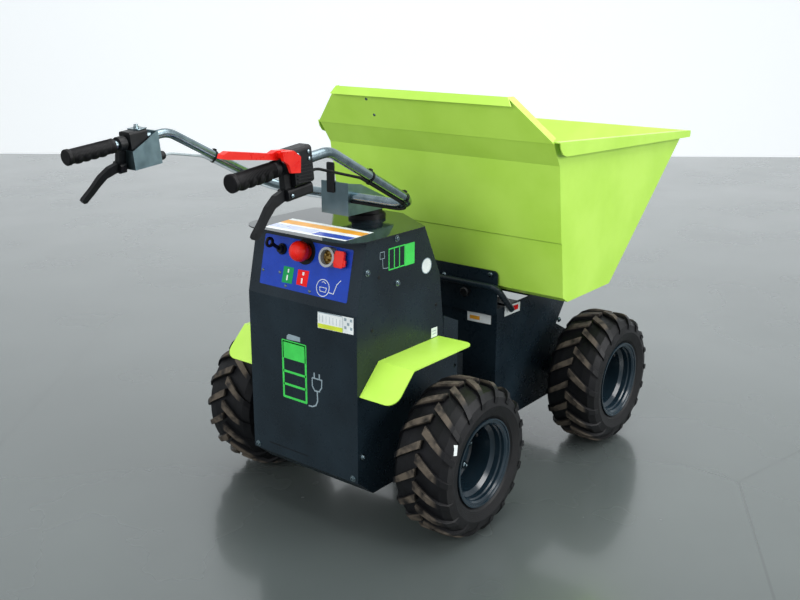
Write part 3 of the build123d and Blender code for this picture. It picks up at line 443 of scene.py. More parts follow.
def roundRect(width, height, radius, center=(0, 0), steps=5):
    points = []
    for cornerX, cornerY, start in ((1, 1, 0), (-1, 1, 90), (-1, -1, 180), (1, -1, 270)):
        for step in range(steps + 1):
            angle = math.radians(start + 90 * step / steps)
            points.append((center[0] + cornerX * (width / 2 - radius) + radius * math.cos(angle),
                           center[1] + cornerY * (height / 2 - radius) + radius * math.sin(angle)))
    return points


def circleOutline(radius, center=(0, 0), steps=48):
    angles = [2 * math.pi * s / steps for s in range(steps)]
    return [(center[0] + radius * math.cos(a), center[1] + radius * math.sin(a)) for a in angles]


def addPlate(work, face, outline, high, low=-0.3):
    # a sheet cut to the outline, from low to high above the face
    top = [work.verts.new(onFace(face, r, u, high)) for r, u in outline]
    bottom = [work.verts.new(onFace(face, r, u, low)) for r, u in outline]
    work.faces.new(top)
    work.faces.new(list(reversed(bottom)))
    for i in range(len(top)):
        j = (i + 1) % len(top)
        work.faces.new((bottom[i], bottom[j], top[j], top[i]))


def addBand(work, face, outer, inner, high, low=-0.3):
    # a frame between two outlines with the same number of points
    edges = ((outer, high), (inner, high), (inner, low), (outer, low))
    rings = [[work.verts.new(onFace(face, r, u, out)) for r, u in outline] for outline, out in edges]
    for ring, following in zip(rings, rings[1:] + rings[:1]):
        for i in range(len(ring)):
            j = (i + 1) % len(ring)
            work.faces.new((ring[i], ring[j], following[j], following[i]))


def addStroke(work, face, points, width, high, low=-0.3):
    # a printed line of even width through the points
    lefts, rights = [], []
    for i, point in enumerate(points):
        before = Vector(points[max(i - 1, 0)])
        after = Vector(points[min(i + 1, len(points) - 1)])
        arriving = (Vector(point) - before).normalized() if i else (after - Vector(point)).normalized()
        leaving = (after - Vector(point)).normalized() if i < len(points) - 1 else arriving
        along = (arriving + leaving).normalized()
        reach = width / 2 / max(0.4, along.dot(arriving))
        side = Vector((-along.y, along.x)) * reach
        lefts.append(tuple(Vector(point) + side))
        rights.append(tuple(Vector(point) - side))
    addPlate(work, face, rights + list(reversed(lefts)), high, low)


def addTurned(work, base, axis, profile, steps=36):
    # a turned form: profile is (radius, height) from the axis and back to it
    axis = Vector(axis).normalized()
    across = axis.orthogonal().normalized()
    other = axis.cross(across)
    angles = [2 * math.pi * s / steps for s in range(steps)]
    spokes = [across * math.cos(a) + other * math.sin(a) for a in angles]
    rings = []
    for radius, height in profile:
        center = Vector(base) + axis * (height / 1000)
        if radius < 0.001:
            rings.append([work.verts.new(center)])
        else:
            rings.append([work.verts.new(center + spoke * (radius / 1000)) for spoke in spokes])
    for ring, following in zip(rings, rings[1:]):
        for i in range(steps):
            j = (i + 1) % steps
            corners = [ring[i % len(ring)], ring[j % len(ring)]]
            corners += [following[j % len(following)], following[i % len(following)]]
            corners = [c for n, c in enumerate(corners) if c not in corners[:n]]
            if len(corners) > 2:
                work.faces.new(corners)


sharpAngle = math.radians(32)


def finishPiece(name, work, finish, slot, body, smooth=False, bevel=0.0):
    # the gathered faces become one named piece that rides on its body
    bmesh.ops.recalc_face_normals(work, faces=work.faces[:])
    if bevel:
        sharp = [e for e in work.edges if len(e.link_faces) == 2 and e.calc_face_angle() > 0.6]
        bmesh.ops.bevel(
            work, geom=sharp, offset=bevel / 1000, segments=2, profile=0.6,
            affect="EDGES", clamp_overlap=True,
        )
    mesh = bpy.data.meshes.new(name)
    work.to_mesh(mesh)
    work.free()
    mesh.materials.append(materials[finish])
    if smooth:
        mesh.shade_smooth()
        mesh.set_sharp_from_angle(angle=sharpAngle)
    piece = bpy.data.objects.new(name, mesh)
    bpy.context.scene.collection.objects.link(piece)
    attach(piece, body)


def printedPiece(name, face, parts, finish, body, high=0.35):
    # printed film: each part is ("fill", outline), ("band", outer, inner) or ("line", points, width)
    work = bmesh.new()
    for kind, *facts in parts:
        if kind == "fill":
            addPlate(work, faces[face], facts[0], high)
        elif kind == "band":
            addBand(work, faces[face], facts[0], facts[1], high)
        else:
            addStroke(work, faces[face], facts[0], facts[1], high)
    finishPiece(name, work, finish, "grey_plastic", body)


def printedPatch(name, face, outline, finish, body, high=0.35):
    printedPiece(name, face, [("fill", outline)], finish, body, high)


# the control panel's film and what is printed on it

panelFilm = {
    "outline": roundRect(290, 126, 4, (0, 88.5)),
    "startKey": [(-70, 40), (-36, 41), (-34, 81), (-68, 81)],
    "stopKey": [(-21, 43), (14, 42), (16, 81), (-20, 80)],
    "ring": (circleOutline(21, (66, 49)), circleOutline(19.4, (66, 49))),
    "ringLine": [(86, 41), (101, 40), (108, 63), (119, 75)],
    "plugMark": [(58, 40), (76, 40), (78, 50), (56, 50), (58, 40)],
    "cordMark": [(61, 62), (67, 64), (74, 60)],
    # width, height, corner and centre of the marks on the two keys
    "keyMarks": [
        (4.5, 9, 1, (-51.5, 71)),
        (4.5, 13, 1, (-53.5, 54)),
        (6, 8, 1, (-1.5, 72)),
        (4.5, 13, 1, (-4, 54)),
    ],
}
printedPatch("panelFilm", "panel", panelFilm["outline"], "printedBlueFilm", "rear_unit", 0.4)
printedPatch("startPatch", "panel", panelFilm["startKey"], "printedGreenFilm", "rear_unit", 0.9)
printedPatch("stopPatch", "panel", panelFilm["stopKey"], "printedRedFilm", "rear_unit", 0.9)
whiteMarks = [
    ("band", *panelFilm["ring"]),
    ("line", panelFilm["ringLine"], 1.6),
    ("line", panelFilm["plugMark"], 1.4),
    ("line", panelFilm["cordMark"], 1.3),
]
whiteMarks += [("fill", roundRect(*mark)) for mark in panelFilm["keyMarks"]]
printedPiece("panelMarks", "panel", whiteMarks, "printedWhiteFilm", "rear_unit", 1.1)
print("panel film ready")

# stop button's collar, key switch with its key, charging socket's inside and its flap

panel = faces["panel"]
stopButton = {
    "center": (-4, 126),
    "collar": (32, 1.2),    # radius, thickness
    "dome": [
        (0, 20), (24.6, 20), (25.2, 24), (24.6, 29), (22.8, 34), (19.6, 38.4),
        (15, 42), (10, 44.3), (5, 45.5), (0, 45.9),
    ],
}
radius, thick = stopButton["collar"]
work = bmesh.new()
addPlate(work, panel, circleOutline(radius, stopButton["center"]), thick)
finishPiece("stopCollar", work, "mouldedBlackNylon", "black_plastic", "rear_unit", True, 0.4)
work = bmesh.new()
addTurned(work, onFace(panel, *stopButton["center"]), panel["out"], stopButton["dome"], 56)
finishPiece("stopDome", work, "mouldedRedNylon", "red_plastic", "rear_unit", True)

keySwitch = {
    "at": (-80, 121),
    "barrel": [(0, 0), (14, 0), (14, 5), (12.5, 7), (10, 7), (9, 14), (0, 14)],
    "keyHeight": 12,
    "keyTilt": math.radians(22),    # the key hangs this much from straight out
    "blade": [(0, -4), (26, -4.5), (30, -7), (30, 7), (26, 4.5), (0, 4)],
    "bow": (circleOutline(13, (40, 0)), circleOutline(6.5, (40, 0))),
    "halfThick": (2.2, 2.6),        # blade, bow
}
work = bmesh.new()
addTurned(work, onFace(panel, *keySwitch["at"]), panel["out"], keySwitch["barrel"])
finishPiece("keyBarrel", work, "mouldedBlackNylon", "black_plastic", "rear_unit", True)
keyOut = panel["out"] * math.cos(keySwitch["keyTilt"]) + panel["up"] * math.sin(keySwitch["keyTilt"])
keyUp = keyOut.cross(panel["right"]).normalized() * -1
keyFace = makeFace(onFace(panel, *keySwitch["at"], keySwitch["keyHeight"]), keyOut, keyUp)
bladeHalf, bowHalf = keySwitch["halfThick"]
work = bmesh.new()
addPlate(work, keyFace, keySwitch["blade"], bladeHalf, -bladeHalf)
addBand(work, keyFace, *keySwitch["bow"], bowHalf, -bowHalf)
finishPiece("switchKey", work, "mouldedBlackNylon", "black_plastic", "rear_unit", True, 0.5)

socketInside = {
    "at": (82, 125),
    "floor": 8.2,
    "cup": [(0, 0), (17.6, 0), (17.6, 2.5), (15, 3), (14, 1.5), (0, 1.5)],
    "pin": [(0, 0), (3.2, 0), (3.2, 8), (2.4, 9), (0, 9)],
    "pinFloor": 9,
    "pins": [(75, 130), (89, 130), (82, 118)],
}
work = bmesh.new()
addTurned(work, onFace(panel, *socketInside["at"], socketInside["floor"]), panel["out"], socketInside["cup"])
for right, up in socketInside["pins"]:
    addTurned(work, onFace(panel, right, up, socketInside["pinFloor"]), panel["out"], socketInside["pin"], 20)
finishPiece("socketContacts", work, "brassContacts", "grey_plastic", "rear_unit", True)

socketFlap = {
    "hinge": (104, 125, 17),
    "open": math.radians(28),
    "lean": 0.4,
    # outline, height above and below its own middle: lid, thumb tab, hinge
    "plates": [
        (roundRect(25, 40, 5, (14, 0)), 5, -5),
        (roundRect(6, 16, 2.5, (28, -8)), 3.5, -3.5),
        (roundRect(8, 22, 3, (-1, 0)), 4, -9),
    ],
}
flapRight = panel["right"] * math.cos(socketFlap["open"])
flapRight -= panel["out"] * math.sin(socketFlap["open"]) * socketFlap["lean"]
flapFace = makeFace(onFace(panel, *socketFlap["hinge"]), flapRight, panel["up"])
work = bmesh.new()
for outline, high, low in socketFlap["plates"]:
    addPlate(work, flapFace, outline, high, low)
finishPiece("socketFlap", work, "mouldedRedNylon", "red_plastic", "rear_unit", True, 1.1)
print("controls ready")

# rear face: blank rating label, battery pictogram, lead mark and a black stroke of painted shade along the
# fold low on the plate

ratingPlate = {
    "sheet": [(56, 534), (170, 539), (170, 580), (57, 575)],
    "band": [(57, 535), (136, 538), (136, 549), (57, 546)],
    "rules": [([(59, 574), (134, 577)], 2.2), ([(137, 540), (137, 578)], 1.0)],
    "bars": {"first": 62, "pitch": 11, "count": 7, "foot": 551, "top": 568, "width": 0.9},
    "checks": {"first": (145, 552), "pitch": (9, 10), "count": 3, "size": 7},
}
printedPatch("ratingLabel", "rear", ratingPlate["sheet"], "printedWhiteFilm", "rear_unit")
printedPatch("ratingBand", "rear", ratingPlate["band"], "printedYellowFilm", "rear_unit", 0.6)
bars, checks = ratingPlate["bars"], ratingPlate["checks"]
ratingLines = [("line", points, width) for points, width in ratingPlate["rules"]]
for i in range(bars["count"]):
    x = bars["first"] + bars["pitch"] * i
    ratingLines.append(("line", [(x, bars["foot"]), (x, bars["top"])], bars["width"]))
for i in range(checks["count"]):
    for k in range(checks["count"]):
        if (i + k) % 2 == 0:
            x = checks["first"][0] + checks["pitch"][0] * i
            y = checks["first"][1] + checks["pitch"][1] * k
            ratingLines.append(("fill", roundRect(checks["size"], checks["size"], 0.5, (x, y))))
printedPiece("ratingLines", "rear", ratingLines, "printedGreyFilm", "rear_unit", 0.6)

rearSign = {"center": (-26, 402), "width": 84, "height": 156, "cells": 3, "cap": 46, "bar": 6}
leadMarks = [
    ("fill", [(-50, 482), (-4, 484), (-4, 496), (-44, 497), (-50, 490)]),
    ("line", [(41, 414), (41, 402)], 4),
    ("line", [(58, 414), (58, 402)], 4),
    ("line", [(34, 399), (34, 378), (42, 367), (57, 368), (65, 380), (66, 400), (34, 400)], 3.2),
    ("line", [(50, 366), (51, 342), (45, 329), (34, 323), (20, 322)], 3.6),
]
# painted shade: a thin black stroke stands for the shadow in the fold low on the plate, not for a dark part
rearFold = {"line": [(-123, 183), (14, 182)], "width": 1.8}


def batterySign(sign):
    # upright battery outline with open cells, its solid top block and separating bars
    (x, y), width, height, cap, bar = (sign[k] for k in ("center", "width", "height", "cap", "bar"))
    inner = roundRect(width - 2 * bar, height - 2 * bar, 2, (x, y))
    parts = [("band", roundRect(width, height, 4, (x, y)), inner)]
    parts.append(("fill", roundRect(width - bar, cap, 1.5, (x, y + height / 2 - cap / 2 - bar / 2))))
    pitch = (height - cap - bar) / sign["cells"]
    for cell in range(1, sign["cells"]):
        parts.append(("fill", roundRect(width - bar, bar, 1, (x, y - height / 2 + bar / 2 + pitch * cell))))
    return parts


printedPiece("batterySign", "rear", batterySign(rearSign), "printedLightGreenFilm", "rear_unit")
# the fold's painted shade, drawn with the black nylon finish
foldShadeLine = [("line", rearFold["line"], rearFold["width"])]
printedPiece("rearFold", "rear", foldShadeLine, "mouldedBlackNylon", "rear_unit", 0.5)
printedPiece("leadMark", "rear", leadMarks, "printedGreyFilm", "rear_unit")

# right side: battery pictogram lying down, blank round disc, small blank tag

sideSign = [
    ("band", roundRect(64, 54, 1.5, (-69, 699)), roundRect(58, 48, 1, (-69, 699))),
    ("fill", roundRect(3, 50, 0.5, (-79, 699))),
    ("fill", roundRect(3, 50, 0.5, (-59, 699))),
    ("fill", roundRect(38, 54, 1, (-18.5, 698))),
]
sideLead = [
    ("line", [(-133, 722), (-117, 722), (-116, 706), (-133, 706), (-133, 722)], 1.4),
    ("line", [(-124, 706), (-122, 682), (-110, 680), (-102, 680)], 1.4),
]
roundTag = {"center": (51, 654), "radius": 19, "rim": (20.5, 18.5)}
liftTag = {
    "sheet": [(75, 456), (101, 456), (101, 481), (75, 482)],
    "bars": [("line", [(80, 473), (96, 473)], 1.6), ("line", [(80, 465), (96, 465)], 1.6)],
}
printedPiece("sideBatterySign", "side", sideSign, "printedLightGreenFilm", "rear_unit")
printedPiece("sideLeadMark", "side", sideLead, "printedGreyFilm", "rear_unit")
disc = circleOutline(roundTag["radius"], roundTag["center"])
discRim = [("band", *(circleOutline(radius, roundTag["center"]) for radius in roundTag["rim"]))]
printedPatch("roundTag", "side", disc, "printedWhiteFilm", "rear_unit")
printedPiece("roundTagRim", "side", discRim, "printedGreyFilm", "rear_unit", 0.6)
printedPatch("liftTag", "side", liftTag["sheet"], "printedWhiteFilm", "rear_unit")
printedPiece("liftTagMark", "side", liftTag["bars"], "printedGreyFilm", "rear_unit", 0.6)

# label on the top cover, left blank in its printed bands

coverLabel = {
    "sheet": [(-112, -222), (142, -213), (135, -102), (-129, -106)],
    "amber": [(-121, -158), (138, -150), (136, -118), (-126, -124)],
    "blue": [(30, -208), (140, -204), (139, -172), (30, -177)],
    "pale": [(-115, -205), (24, -200), (22, -166), (-120, -172)],
}
printedPatch("coverLabel", "cover", coverLabel["sheet"], "printedWhiteFilm", "rear_unit", 0.25)
for color in ("Amber", "Blue", "Pale"):
    band = coverLabel[color.lower()]
    printedPatch("coverBand" + color, "cover", band, "printed" + color + "Film", "rear_unit", 0.45)

# blank labels and the latch knob on the front unit

frontLabel = {
    "sheet": [(86, 411), (166, 413), (166, 441), (85, 438)],
    "mark": [(94, 418), (128, 419), (128, 430), (94, 429)],
}
sideLabel = {
    "sheet": [(419, 431), (502, 430), (503, 457), (420, 462)],
    "mark": [(452, 438), (492, 438), (492, 452), (452, 454)],
}
latchKnob = {
    "at": (92, 503),
    "form": [(0, 0), (6, 0), (6, 14), (12, 15), (14, 18), (14, 26), (11, 29), (0, 29)],
}
printedPatch("frontLabel", "frontPanel", frontLabel["sheet"], "printedWhiteFilm", "front_unit")
printedPatch("frontLabelMarks", "frontPanel", frontLabel["mark"], "printedAmberFilm", "front_unit", 0.6)
printedPatch("sideLabel", "frontSide", sideLabel["sheet"], "printedWhiteFilm", "front_unit")
printedPatch("sideLabelMarks", "frontSide", sideLabel["mark"], "printedRedFilm", "front_unit", 0.6)
work = bmesh.new()
addTurned(work, onFace(faces["guard"], *latchKnob["at"]), faces["guard"]["out"], latchKnob["form"])
finishPiece("latchKnob", work, "mouldedBlackNylon", "black_plastic", "front_unit", True)

# a sticker on the rear right tyre's shoulder, every point laid on the rubber

tyreTag = {
    "place": (-137, 86),    # from the axle: forward, up
    "size": (10, 25),
    "turn": math.radians(-14),
    "steps": (4, 9),
    "thick": 0.35,
}


def addDraped(work, node, center, across, along, tag):
    # a grid of points dropped on the node's surface, with a top and an underside
    columns, rows = tag["steps"]
    layers = ([], [])
    for i in range(columns + 1):
        for k in range(rows + 1):
            reach = across * (i / columns - 0.5) * tag["size"][0] + along * (k / rows - 0.5) * tag["size"][1]
            _, spot, normal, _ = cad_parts[node].ray_cast(center + reach / 1000, Vector((0, 1, 0)))
            layers[0].append(work.verts.new(spot + normal * (tag["thick"] / 1000)))
            layers[1].append(work.verts.new(spot - normal * (tag["thick"] / 1000)))
    row = rows + 1
    for layer in layers:
        for i in range(columns):
            for k in range(rows):
                first = i * row + k
                work.faces.new([layer[n] for n in (first, first + 1, first + row + 1, first + row)])
    rim = list(range(row)) + [i * row + rows for i in range(1, columns + 1)]
    rim += [columns * row + k for k in range(rows - 1, -1, -1)] + [i * row for i in range(columns - 1, 0, -1)]
    for a, b in zip(rim, rim[1:] + rim[:1]):
        work.faces.new((layers[0][a], layers[0][b], layers[1][b], layers[1][a]))


forward, up = tyreTag["place"]
tagCenter = Vector((axleX + forward / 1000, -0.6, axleZ + up / 1000))
tagAcross = Vector((math.cos(tyreTag["turn"]), 0, math.sin(tyreTag["turn"])))
tagAlong = Vector((-math.sin(tyreTag["turn"]), 0, math.cos(tyreTag["turn"])))
work = bmesh.new()
addDraped(work, "tyre_rear_right", tagCenter, tagAcross, tagAlong, tyreTag)
finishPiece("tyreTag", work, "printedWhiteFilm", "grey_plastic", "wheel_rear_right", True)
print("labels ready")

# fasteners, repeated with Geometry Nodes and kept as one mesh for each piece, riding on its body

fastenerForms = {
    # turned washer and head as (radius, height) pairs, and the steps around it
    "washerBolt": ([
        (0, 0), (8.5, 0), (8.5, 1.4), (6.2, 1.6), (5.6, 2.4), (5.6, 5.0),
        (4.6, 5.8), (2.6, 5.8), (2.4, 4.2), (0, 4.2),
    ], 24),
    "panScrew": ([(0, 0), (4.2, 0), (4.2, 0.8), (3.4, 2.0), (1.6, 2.5), (1.2, 1.7), (0, 1.7)], 20),
    "wheelNut": ([
        (0, 0), (12.5, 0), (12.5, 1.5), (9.5, 3.5), (9.5, 11),
        (8, 13), (5, 13.4), (5, 17), (4, 18), (0, 18),
    ], 24),
    "blankPlug": ([(0, 0), (4.6, 0), (4.2, 0.9), (3.2, 1.1), (0, 0.6)], 16),
}


def makeRepeatTree():
    # stands one part on every point, turned by the points' own attribute
    tree = bpy.data.node_groups.new("repeatOnPoints", "GeometryNodeTree")
    kinds = {"Points": "NodeSocketGeometry", "Part": "NodeSocketObject", "Finish": "NodeSocketMaterial"}
    sockets = {}
    for label, kind in kinds.items():
        sockets[label] = tree.interface.new_socket(name=label, in_out="INPUT", socket_type=kind).identifier
    tree.interface.new_socket(name="Result", in_out="OUTPUT", socket_type="NodeSocketGeometry")
    entry = addNode(tree, "NodeGroupInput")
    part = addNode(tree, "GeometryNodeObjectInfo", {}, {"Object": entry.outputs["Part"]})
    turn = addNode(tree, "GeometryNodeInputNamedAttribute", {"data_type": "FLOAT_VECTOR"}, {"Name": "turn"})
    place = addNode(tree, "GeometryNodeInstanceOnPoints", {}, {
        "Points": entry.outputs["Points"],
        "Instance": part.outputs["Geometry"],
        "Rotation": turn.outputs[0],
    })
    whole = addNode(tree, "GeometryNodeRealizeInstances", {}, {"Geometry": place.outputs[0]})
    coated = addNode(tree, "GeometryNodeSetMaterial", {}, {
        "Geometry": whole.outputs[0], "Material": entry.outputs["Finish"],
    })
    addNode(tree, "NodeGroupOutput", {}, {0: coated.outputs[0]})
    return tree, sockets


repeatTree, repeatSockets = makeRepeatTree()


def turnedMesh(name, profile, steps):
    work = bmesh.new()
    addTurned(work, (0, 0, 0), (0, 0, 1), profile, steps)
    bmesh.ops.recalc_face_normals(work, faces=work.faces[:])
    mesh = bpy.data.meshes.new(name)
    work.to_mesh(mesh)
    work.free()
    mesh.shade_smooth()
    return mesh


def repeatPiece(name, form, places, finish, slot, body):
    # form is the part's profile and steps; places are (point, direction of the part's own z)
    part = bpy.data.objects.new(name + "Part", turnedMesh(name + "Part", *form))
    mesh = bpy.data.meshes.new(name)
    mesh.from_pydata([tuple(p) for p, _ in places], [], [])
    turn = mesh.attributes.new("turn", "FLOAT_VECTOR", "POINT")
    for i, (_, out) in enumerate(places):
        turn.data[i].vector = Vector(out).to_track_quat("Z", "Y").to_euler()
    piece = bpy.data.objects.new(name, mesh)
    bpy.context.scene.collection.objects.link(piece)
    modifier = piece.modifiers.new("repeat", "NODES")
    modifier.node_group = repeatTree
    modifier[repeatSockets["Part"]] = part
    modifier[repeatSockets["Finish"]] = materials[finish]
    bpy.context.view_layer.update()
    plain = bpy.data.meshes.new_from_object(piece.evaluated_get(bpy.context.evaluated_depsgraph_get()))
    piece.modifiers.clear()
    piece.data = plain
    plain.set_sharp_from_angle(angle=sharpAngle)
    bpy.data.objects.remove(part)
    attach(piece, body)


def onFaces(table):
    # every spot of a table of faces, each with the way it looks
    spots = []
    for face, places in table.items():
        spots += [(onFace(faces[face], right, up), faces[face]["out"]) for right, up in places]
    return spots


steelScrew = ("zincPlatedSteel", "zinc_steel")
fastenerTable = [
    # piece, form, finish and slot, body, spots on each face
    ("cabinetBolts", "washerBolt", steelScrew, "rear_unit", {
        "side": [(-70, 745), (-180, 682), (-67, 634), (-202, 222), (120, 180)],
        "otherSide": [(70, 745), (180, 682), (67, 634), (202, 222), (-120, 180)],
        "rear": [(165, 167), (-165, 167)],
    }),
    ("panelScrews", "panScrew", steelScrew, "rear_unit", {
        "panel": [(-80, 63), (-55, 33), (25, 33), (-138, 60)],
    }),
    ("cabinetPlugs", "blankPlug", ("mouldedBlackNylon", "black_plastic"), "rear_unit", {
        "side": [(-137, 663), (94, 542), (-164, 538)],
        "otherSide": [(137, 663), (-94, 542), (164, 538)],
    }),
    ("guardBolts", "washerBolt", steelScrew, "front_unit", {
        "guard": [(5, 534), (163, 561), (-163, 561)],
        "frontSide": [(740, 343)],
        "otherFrontSide": [(-740, 343)],
    }),
]
for name, form, (finish, slot), body, table in fastenerTable:
    repeatPiece(name, fastenerForms[form], onFaces(table), finish, slot, body)

# two rivets in the tub's raised brow, found by a line from behind
browRivets = {"spots": [(182, 1032), (169, 988)]}    # to the left, up
rivetPlaces = []
for y, z in browRivets["spots"]:
    start = Vector((axleX, y / 1000, z / 1000))
    found, spot, normal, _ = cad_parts["tub"].ray_cast(start, Vector((1, 0, 0)))
    if found:
        rivetPlaces.append((spot, normal))
repeatPiece("browRivets", fastenerForms["panScrew"], rivetPlaces, *steelScrew, "tub")

wheelNuts = {"circle": 50, "count": 5, "firstTurn": 0.25}
valve = {
    "circle": 84,
    "back": 30,
    "form": [(0, 0), (7, 0), (6, 4), (4, 6), (4, 22), (4.6, 22), (4.6, 30), (3.4, 31), (0, 31)],
}
for end, center in (("rear", axleX), ("front", frontAxleX)):
    for side, sign in (("left", 1), ("right", -1)):
        corner = end + "_" + side
        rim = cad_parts["rim_" + corner]
        inward = Vector((0, -sign, 0))
        spots = []
        for i in range(wheelNuts["count"]):
            angle = 2 * math.pi * (i + wheelNuts["firstTurn"]) / wheelNuts["count"]
            x = center + wheelNuts["circle"] / 1000 * math.cos(angle)
            z = axleZ + wheelNuts["circle"] / 1000 * math.sin(angle)
            found, spot, _, _ = rim.ray_cast(Vector((x, sign * 0.5, z)), inward)
            if found:
                spots.append((spot, (0, sign, 0)))
        repeatPiece("wheelNuts_" + corner, fastenerForms["wheelNut"], spots, *steelScrew, "wheel_" + corner)
        start = Vector((center - valve["back"] / 1000, sign * 0.5, axleZ + valve["circle"] / 1000))
        found, spot, _, _ = rim.ray_cast(start, inward)
        if found:
            work = bmesh.new()
            addTurned(work, spot, (0, sign, 0), valve["form"], 20)
            finishPiece("valve_" + corner, work, "gripRubber", "black_rubber", "wheel_" + corner, True)
print("fasteners ready")

# handlebar: grips' finger waves and ribs, throttle's lid, gland, ties, bracket plate

gripLine = {
    "along": Vector((0.9937, 0, 0.112)),
    "up": Vector((-0.112, 0, 0.9937)),
    "behindAxle": 0.661,    # the grips' rear end, in m
    "height": 0.963,
}


def onGrip(side, across, height, along):
    # a point in the grip's own directions, mirrored for the right side
    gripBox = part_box("left_grip" if side > 0 else "right_grip")
    start = Vector((axleX - gripLine["behindAxle"], (gripBox[0][1] + gripBox[1][1]) / 2, gripLine["height"]))
    reach = gripLine["along"] * along + gripLine["up"] * height + Vector((0, side, 0)) * across
    return start + reach / 1000


gripRings = {
    # swellings that follow the bar: large for the fingers, then the fine ribs
    "Waves": {
        "first": 30, "pitch": 21, "count": 4, "drop": 3.2,
        "radius": 13.2, "thick": 2.9, "stretch": 2.9,
    },
    "Ribs": {
        "first": 16, "pitch": 3.5, "count": 28, "drop": 0,
        "radius": 15.7, "thick": 0.8, "stretch": 1.2,
    },
}
for sideName, side in (("left", 1), ("right", -1)):
    for name, rings in gripRings.items():
        arc = [math.pi * i / 8 for i in range(9)]
        profile = [(
            rings["radius"] + rings["thick"] * math.sin(a),
            rings["thick"] * rings["stretch"] * -math.cos(a),
        ) for a in arc]
        profile = [(0, profile[0][1])] + profile + [(0, profile[-1][1])]
        steps = [rings["first"] + rings["pitch"] * i for i in range(rings["count"])]
        places = [(onGrip(side, 0, -rings["drop"], along), gripLine["along"]) for along in steps]
        ringName = sideName + "Grip" + name
        repeatPiece(ringName, (profile, 40), places, "gripRubber", "black_rubber", "rear_unit")

# bright lid with two nuts over the throttle's black case on the left
throttleLid = {
    "center": (1.5, 194),
    "size": (40, 28),
    "corner": 3,
    "height": 24,
    "thick": 2,
    "nut": [(0, 0), (6.5, 0), (6.5, 2), (5, 3), (5, 7), (0, 7)],
    "nuts": [(9, 186), (-8, 199)],
}
lidFace = makeFace(onGrip(1, 0, throttleLid["height"], 0), (0, -1, 0), gripLine["along"])
lidOutline = roundRect(*throttleLid["size"], throttleLid["corner"], throttleLid["center"])
work = bmesh.new()
addPlate(work, lidFace, lidOutline, throttleLid["thick"])
for right, up in throttleLid["nuts"]:
    foot = onFace(lidFace, right, up, throttleLid["thick"] - 0.2)
    addTurned(work, foot, gripLine["up"], throttleLid["nut"], 24)
finishPiece("throttleLid", work, *steelScrew, "rear_unit", True, 0.4)

cableGland = {
    "at": (-14, -47, 230),    # across, up and along the grip
    "form": [
        (0, 0), (12, 0), (12, 5), (10.5, 6), (10.5, 9), (10.8, 12),
        (9.6, 16), (6, 19), (3.8, 19.6), (0, 19.6),
    ],
}
work = bmesh.new()
addTurned(work, onGrip(1, *cableGland["at"]), gripLine["along"], cableGland["form"], 24)
finishPiece("cableGland", work, "mouldedBlackNylon", "black_plastic", "rear_unit", True)

cableTies = {
    "left": (152, 300),       # along the arm from its crest
    "right": (150, 290),
    "crest": Vector((axleX - 0.386, 0.253, 0.994)),
    "armFoot": Vector((axleX - 0.070, 0.247, 0.831)),
    "loop": (11.4, 3.4, 14.1),    # bar's radius, cable's radius, distance between them
    "thick": 1.3,
    "half": 2.3,
    "head": roundRect(7, 5, 1, (3, 14.4)),
    "tail": [(5, 12.5), (12, 16), (12, 17.2), (5, 14)],
}


def hullOutline(big, small, drop, grow):
    # outline around a large circle and a small one below it
    lean = math.acos((big - small) / drop)
    points = []
    for i in range(33):
        angle = -math.pi / 2 + lean + (2 * math.pi - 2 * lean) * i / 32
        points.append(((big + grow) * math.cos(angle), (big + grow) * math.sin(angle)))
    for i in range(9):
        angle = -math.pi / 2 - lean + 2 * lean * i / 8
        points.append(((small + grow) * math.cos(angle), (small + grow) * math.sin(angle) - drop))
    return points


loopOutlines = [hullOutline(*cableTies["loop"], grow) for grow in (cableTies["thick"], 0)]
for sideName, sign in (("left", 1), ("right", -1)):
    work = bmesh.new()
    for along in cableTies[sideName]:
        towards = (cableTies["armFoot"] - cableTies["crest"]).normalized()
        spot = cableTies["crest"] + towards * (along / 1000)
        spot.y *= sign
        towards.y *= sign
        right = Vector((0, 1, 0)) - towards * towards.y
        tieFace = makeFace(spot, right, towards.cross(right))
        addBand(work, tieFace, *loopOutlines, cableTies["half"], -cableTies["half"])
        addPlate(work, tieFace, cableTies["head"], 3.2, -3.2)
        addPlate(work, tieFace, cableTies["tail"], 2, -2)
    finishPiece(sideName + "CableTies", work, "mouldedBlackNylon", "black_plastic", "rear_unit")

bracketPlate = {"outline": roundRect(25, 75, 4, (-11, 875)), "thick": 3}
bracketFace = makeFace((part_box("bar_bracket")[0][0], 0, 0), (0, -1, 0), (0, 0, 1))
work = bmesh.new()
addPlate(work, bracketFace, bracketPlate["outline"], bracketPlate["thick"])
finishPiece("bracketPlate", work, "mouldedBlackNylon", "black_plastic", "rear_unit", True, 0.8)

# right lever's case: cooling ribs, cover screws and the levers' pivot screws

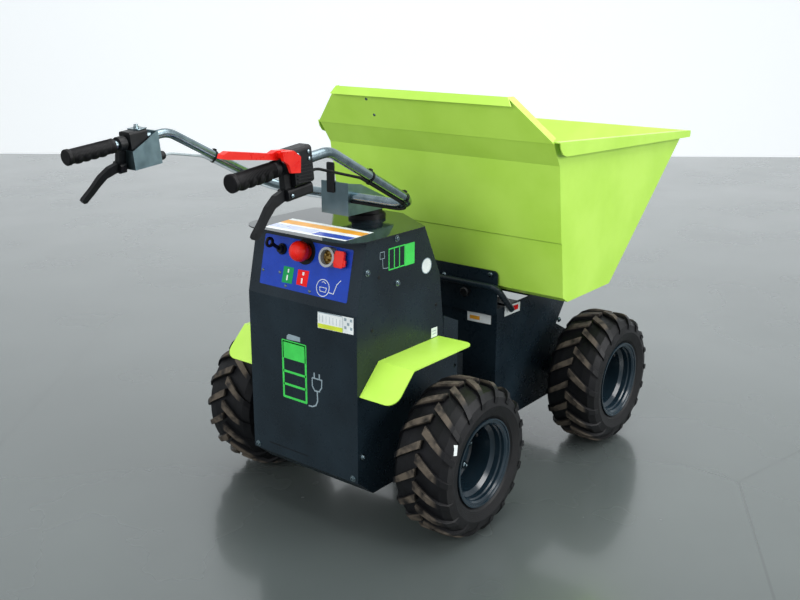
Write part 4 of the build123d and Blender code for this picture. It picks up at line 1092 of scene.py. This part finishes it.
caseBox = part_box("drive_case")
caseFace = makeFace(((caseBox[0][0] + caseBox[1][0]) / 2, caseBox[0][1], 0), (1, 0, 0), (0, 0, 1))
caseRibs = {"low": 946, "pitch": 6.5, "count": 6, "length": 40, "height": 2.6, "out": 2.2, "in": -4}
barScrews = {"case": [(14, 1004), (-16, 1000), (16, 990)], "pivot": (15, -57, 143)}
work = bmesh.new()
for i in range(caseRibs["count"]):
    rib = roundRect(caseRibs["length"], caseRibs["height"], 1.1, (2, caseRibs["low"] + caseRibs["pitch"] * i))
    addPlate(work, caseFace, rib, caseRibs["out"], caseRibs["in"])
finishPiece("caseRibs", work, "mouldedBlackNylon", "black_plastic", "rear_unit", True, 0.3)
screwPlaces = [(onFace(caseFace, right, up), caseFace["out"]) for right, up in barScrews["case"]]
screwPlaces += [(onGrip(side, *barScrews["pivot"]), Vector((0, side, 0))) for side in (1, -1)]
repeatPiece("barScrews", fastenerForms["panScrew"], screwPlaces, *steelScrew, "rear_unit")
print("handlebar details ready")

nodeFinish = {
    "limePowderCoat": ["tub", "left_fender", "right_fender"],
    "anthracitePowderCoat": [
        "rear_frame", "hood", "rear_cover", "front_frame", "tongue", "tub_guard", "catch_bar", "tub_carrier",
    ],
    "coverEnamel": ["top_cover"],
    "blackCasting": ["rear_axle", "front_axle", "ram_body"],
    "mouldedBlackNylon": [
        "battery", "left_perch", "right_perch", "left_brake_lever", "right_brake_lever",
        "drive_case", "switch_unit",
    ],
    "gripRubber": ["left_grip", "right_grip", "tub_rests", "bar_base", "right_cable"],
    "zincPlatedSteel": ["handlebar"],
    "bluePassivatedZinc": ["bar_bracket", "switch_box"],
    "turnedSteel": ["kingpin", "tub_pins", "ram_rod", "ram_pin"],
    "mouldedRedNylon": ["stop_button", "drive_lever"],
    "mouldedGreyNylon": ["charge_socket"],
    "cableSheath": ["left_cable"],
}
for corner in ("rear_left", "rear_right", "front_left", "front_right"):
    nodeFinish.setdefault("tyreRubber", []).append("tyre_" + corner)
    nodeFinish.setdefault("rimEnamel", []).append("rim_" + corner)
for finish, nodes in nodeFinish.items():
    for node in nodes:
        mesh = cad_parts[node].data
        mesh.materials.clear()
        mesh.materials.append(materials[finish])
print("CAD pieces have their finishes")
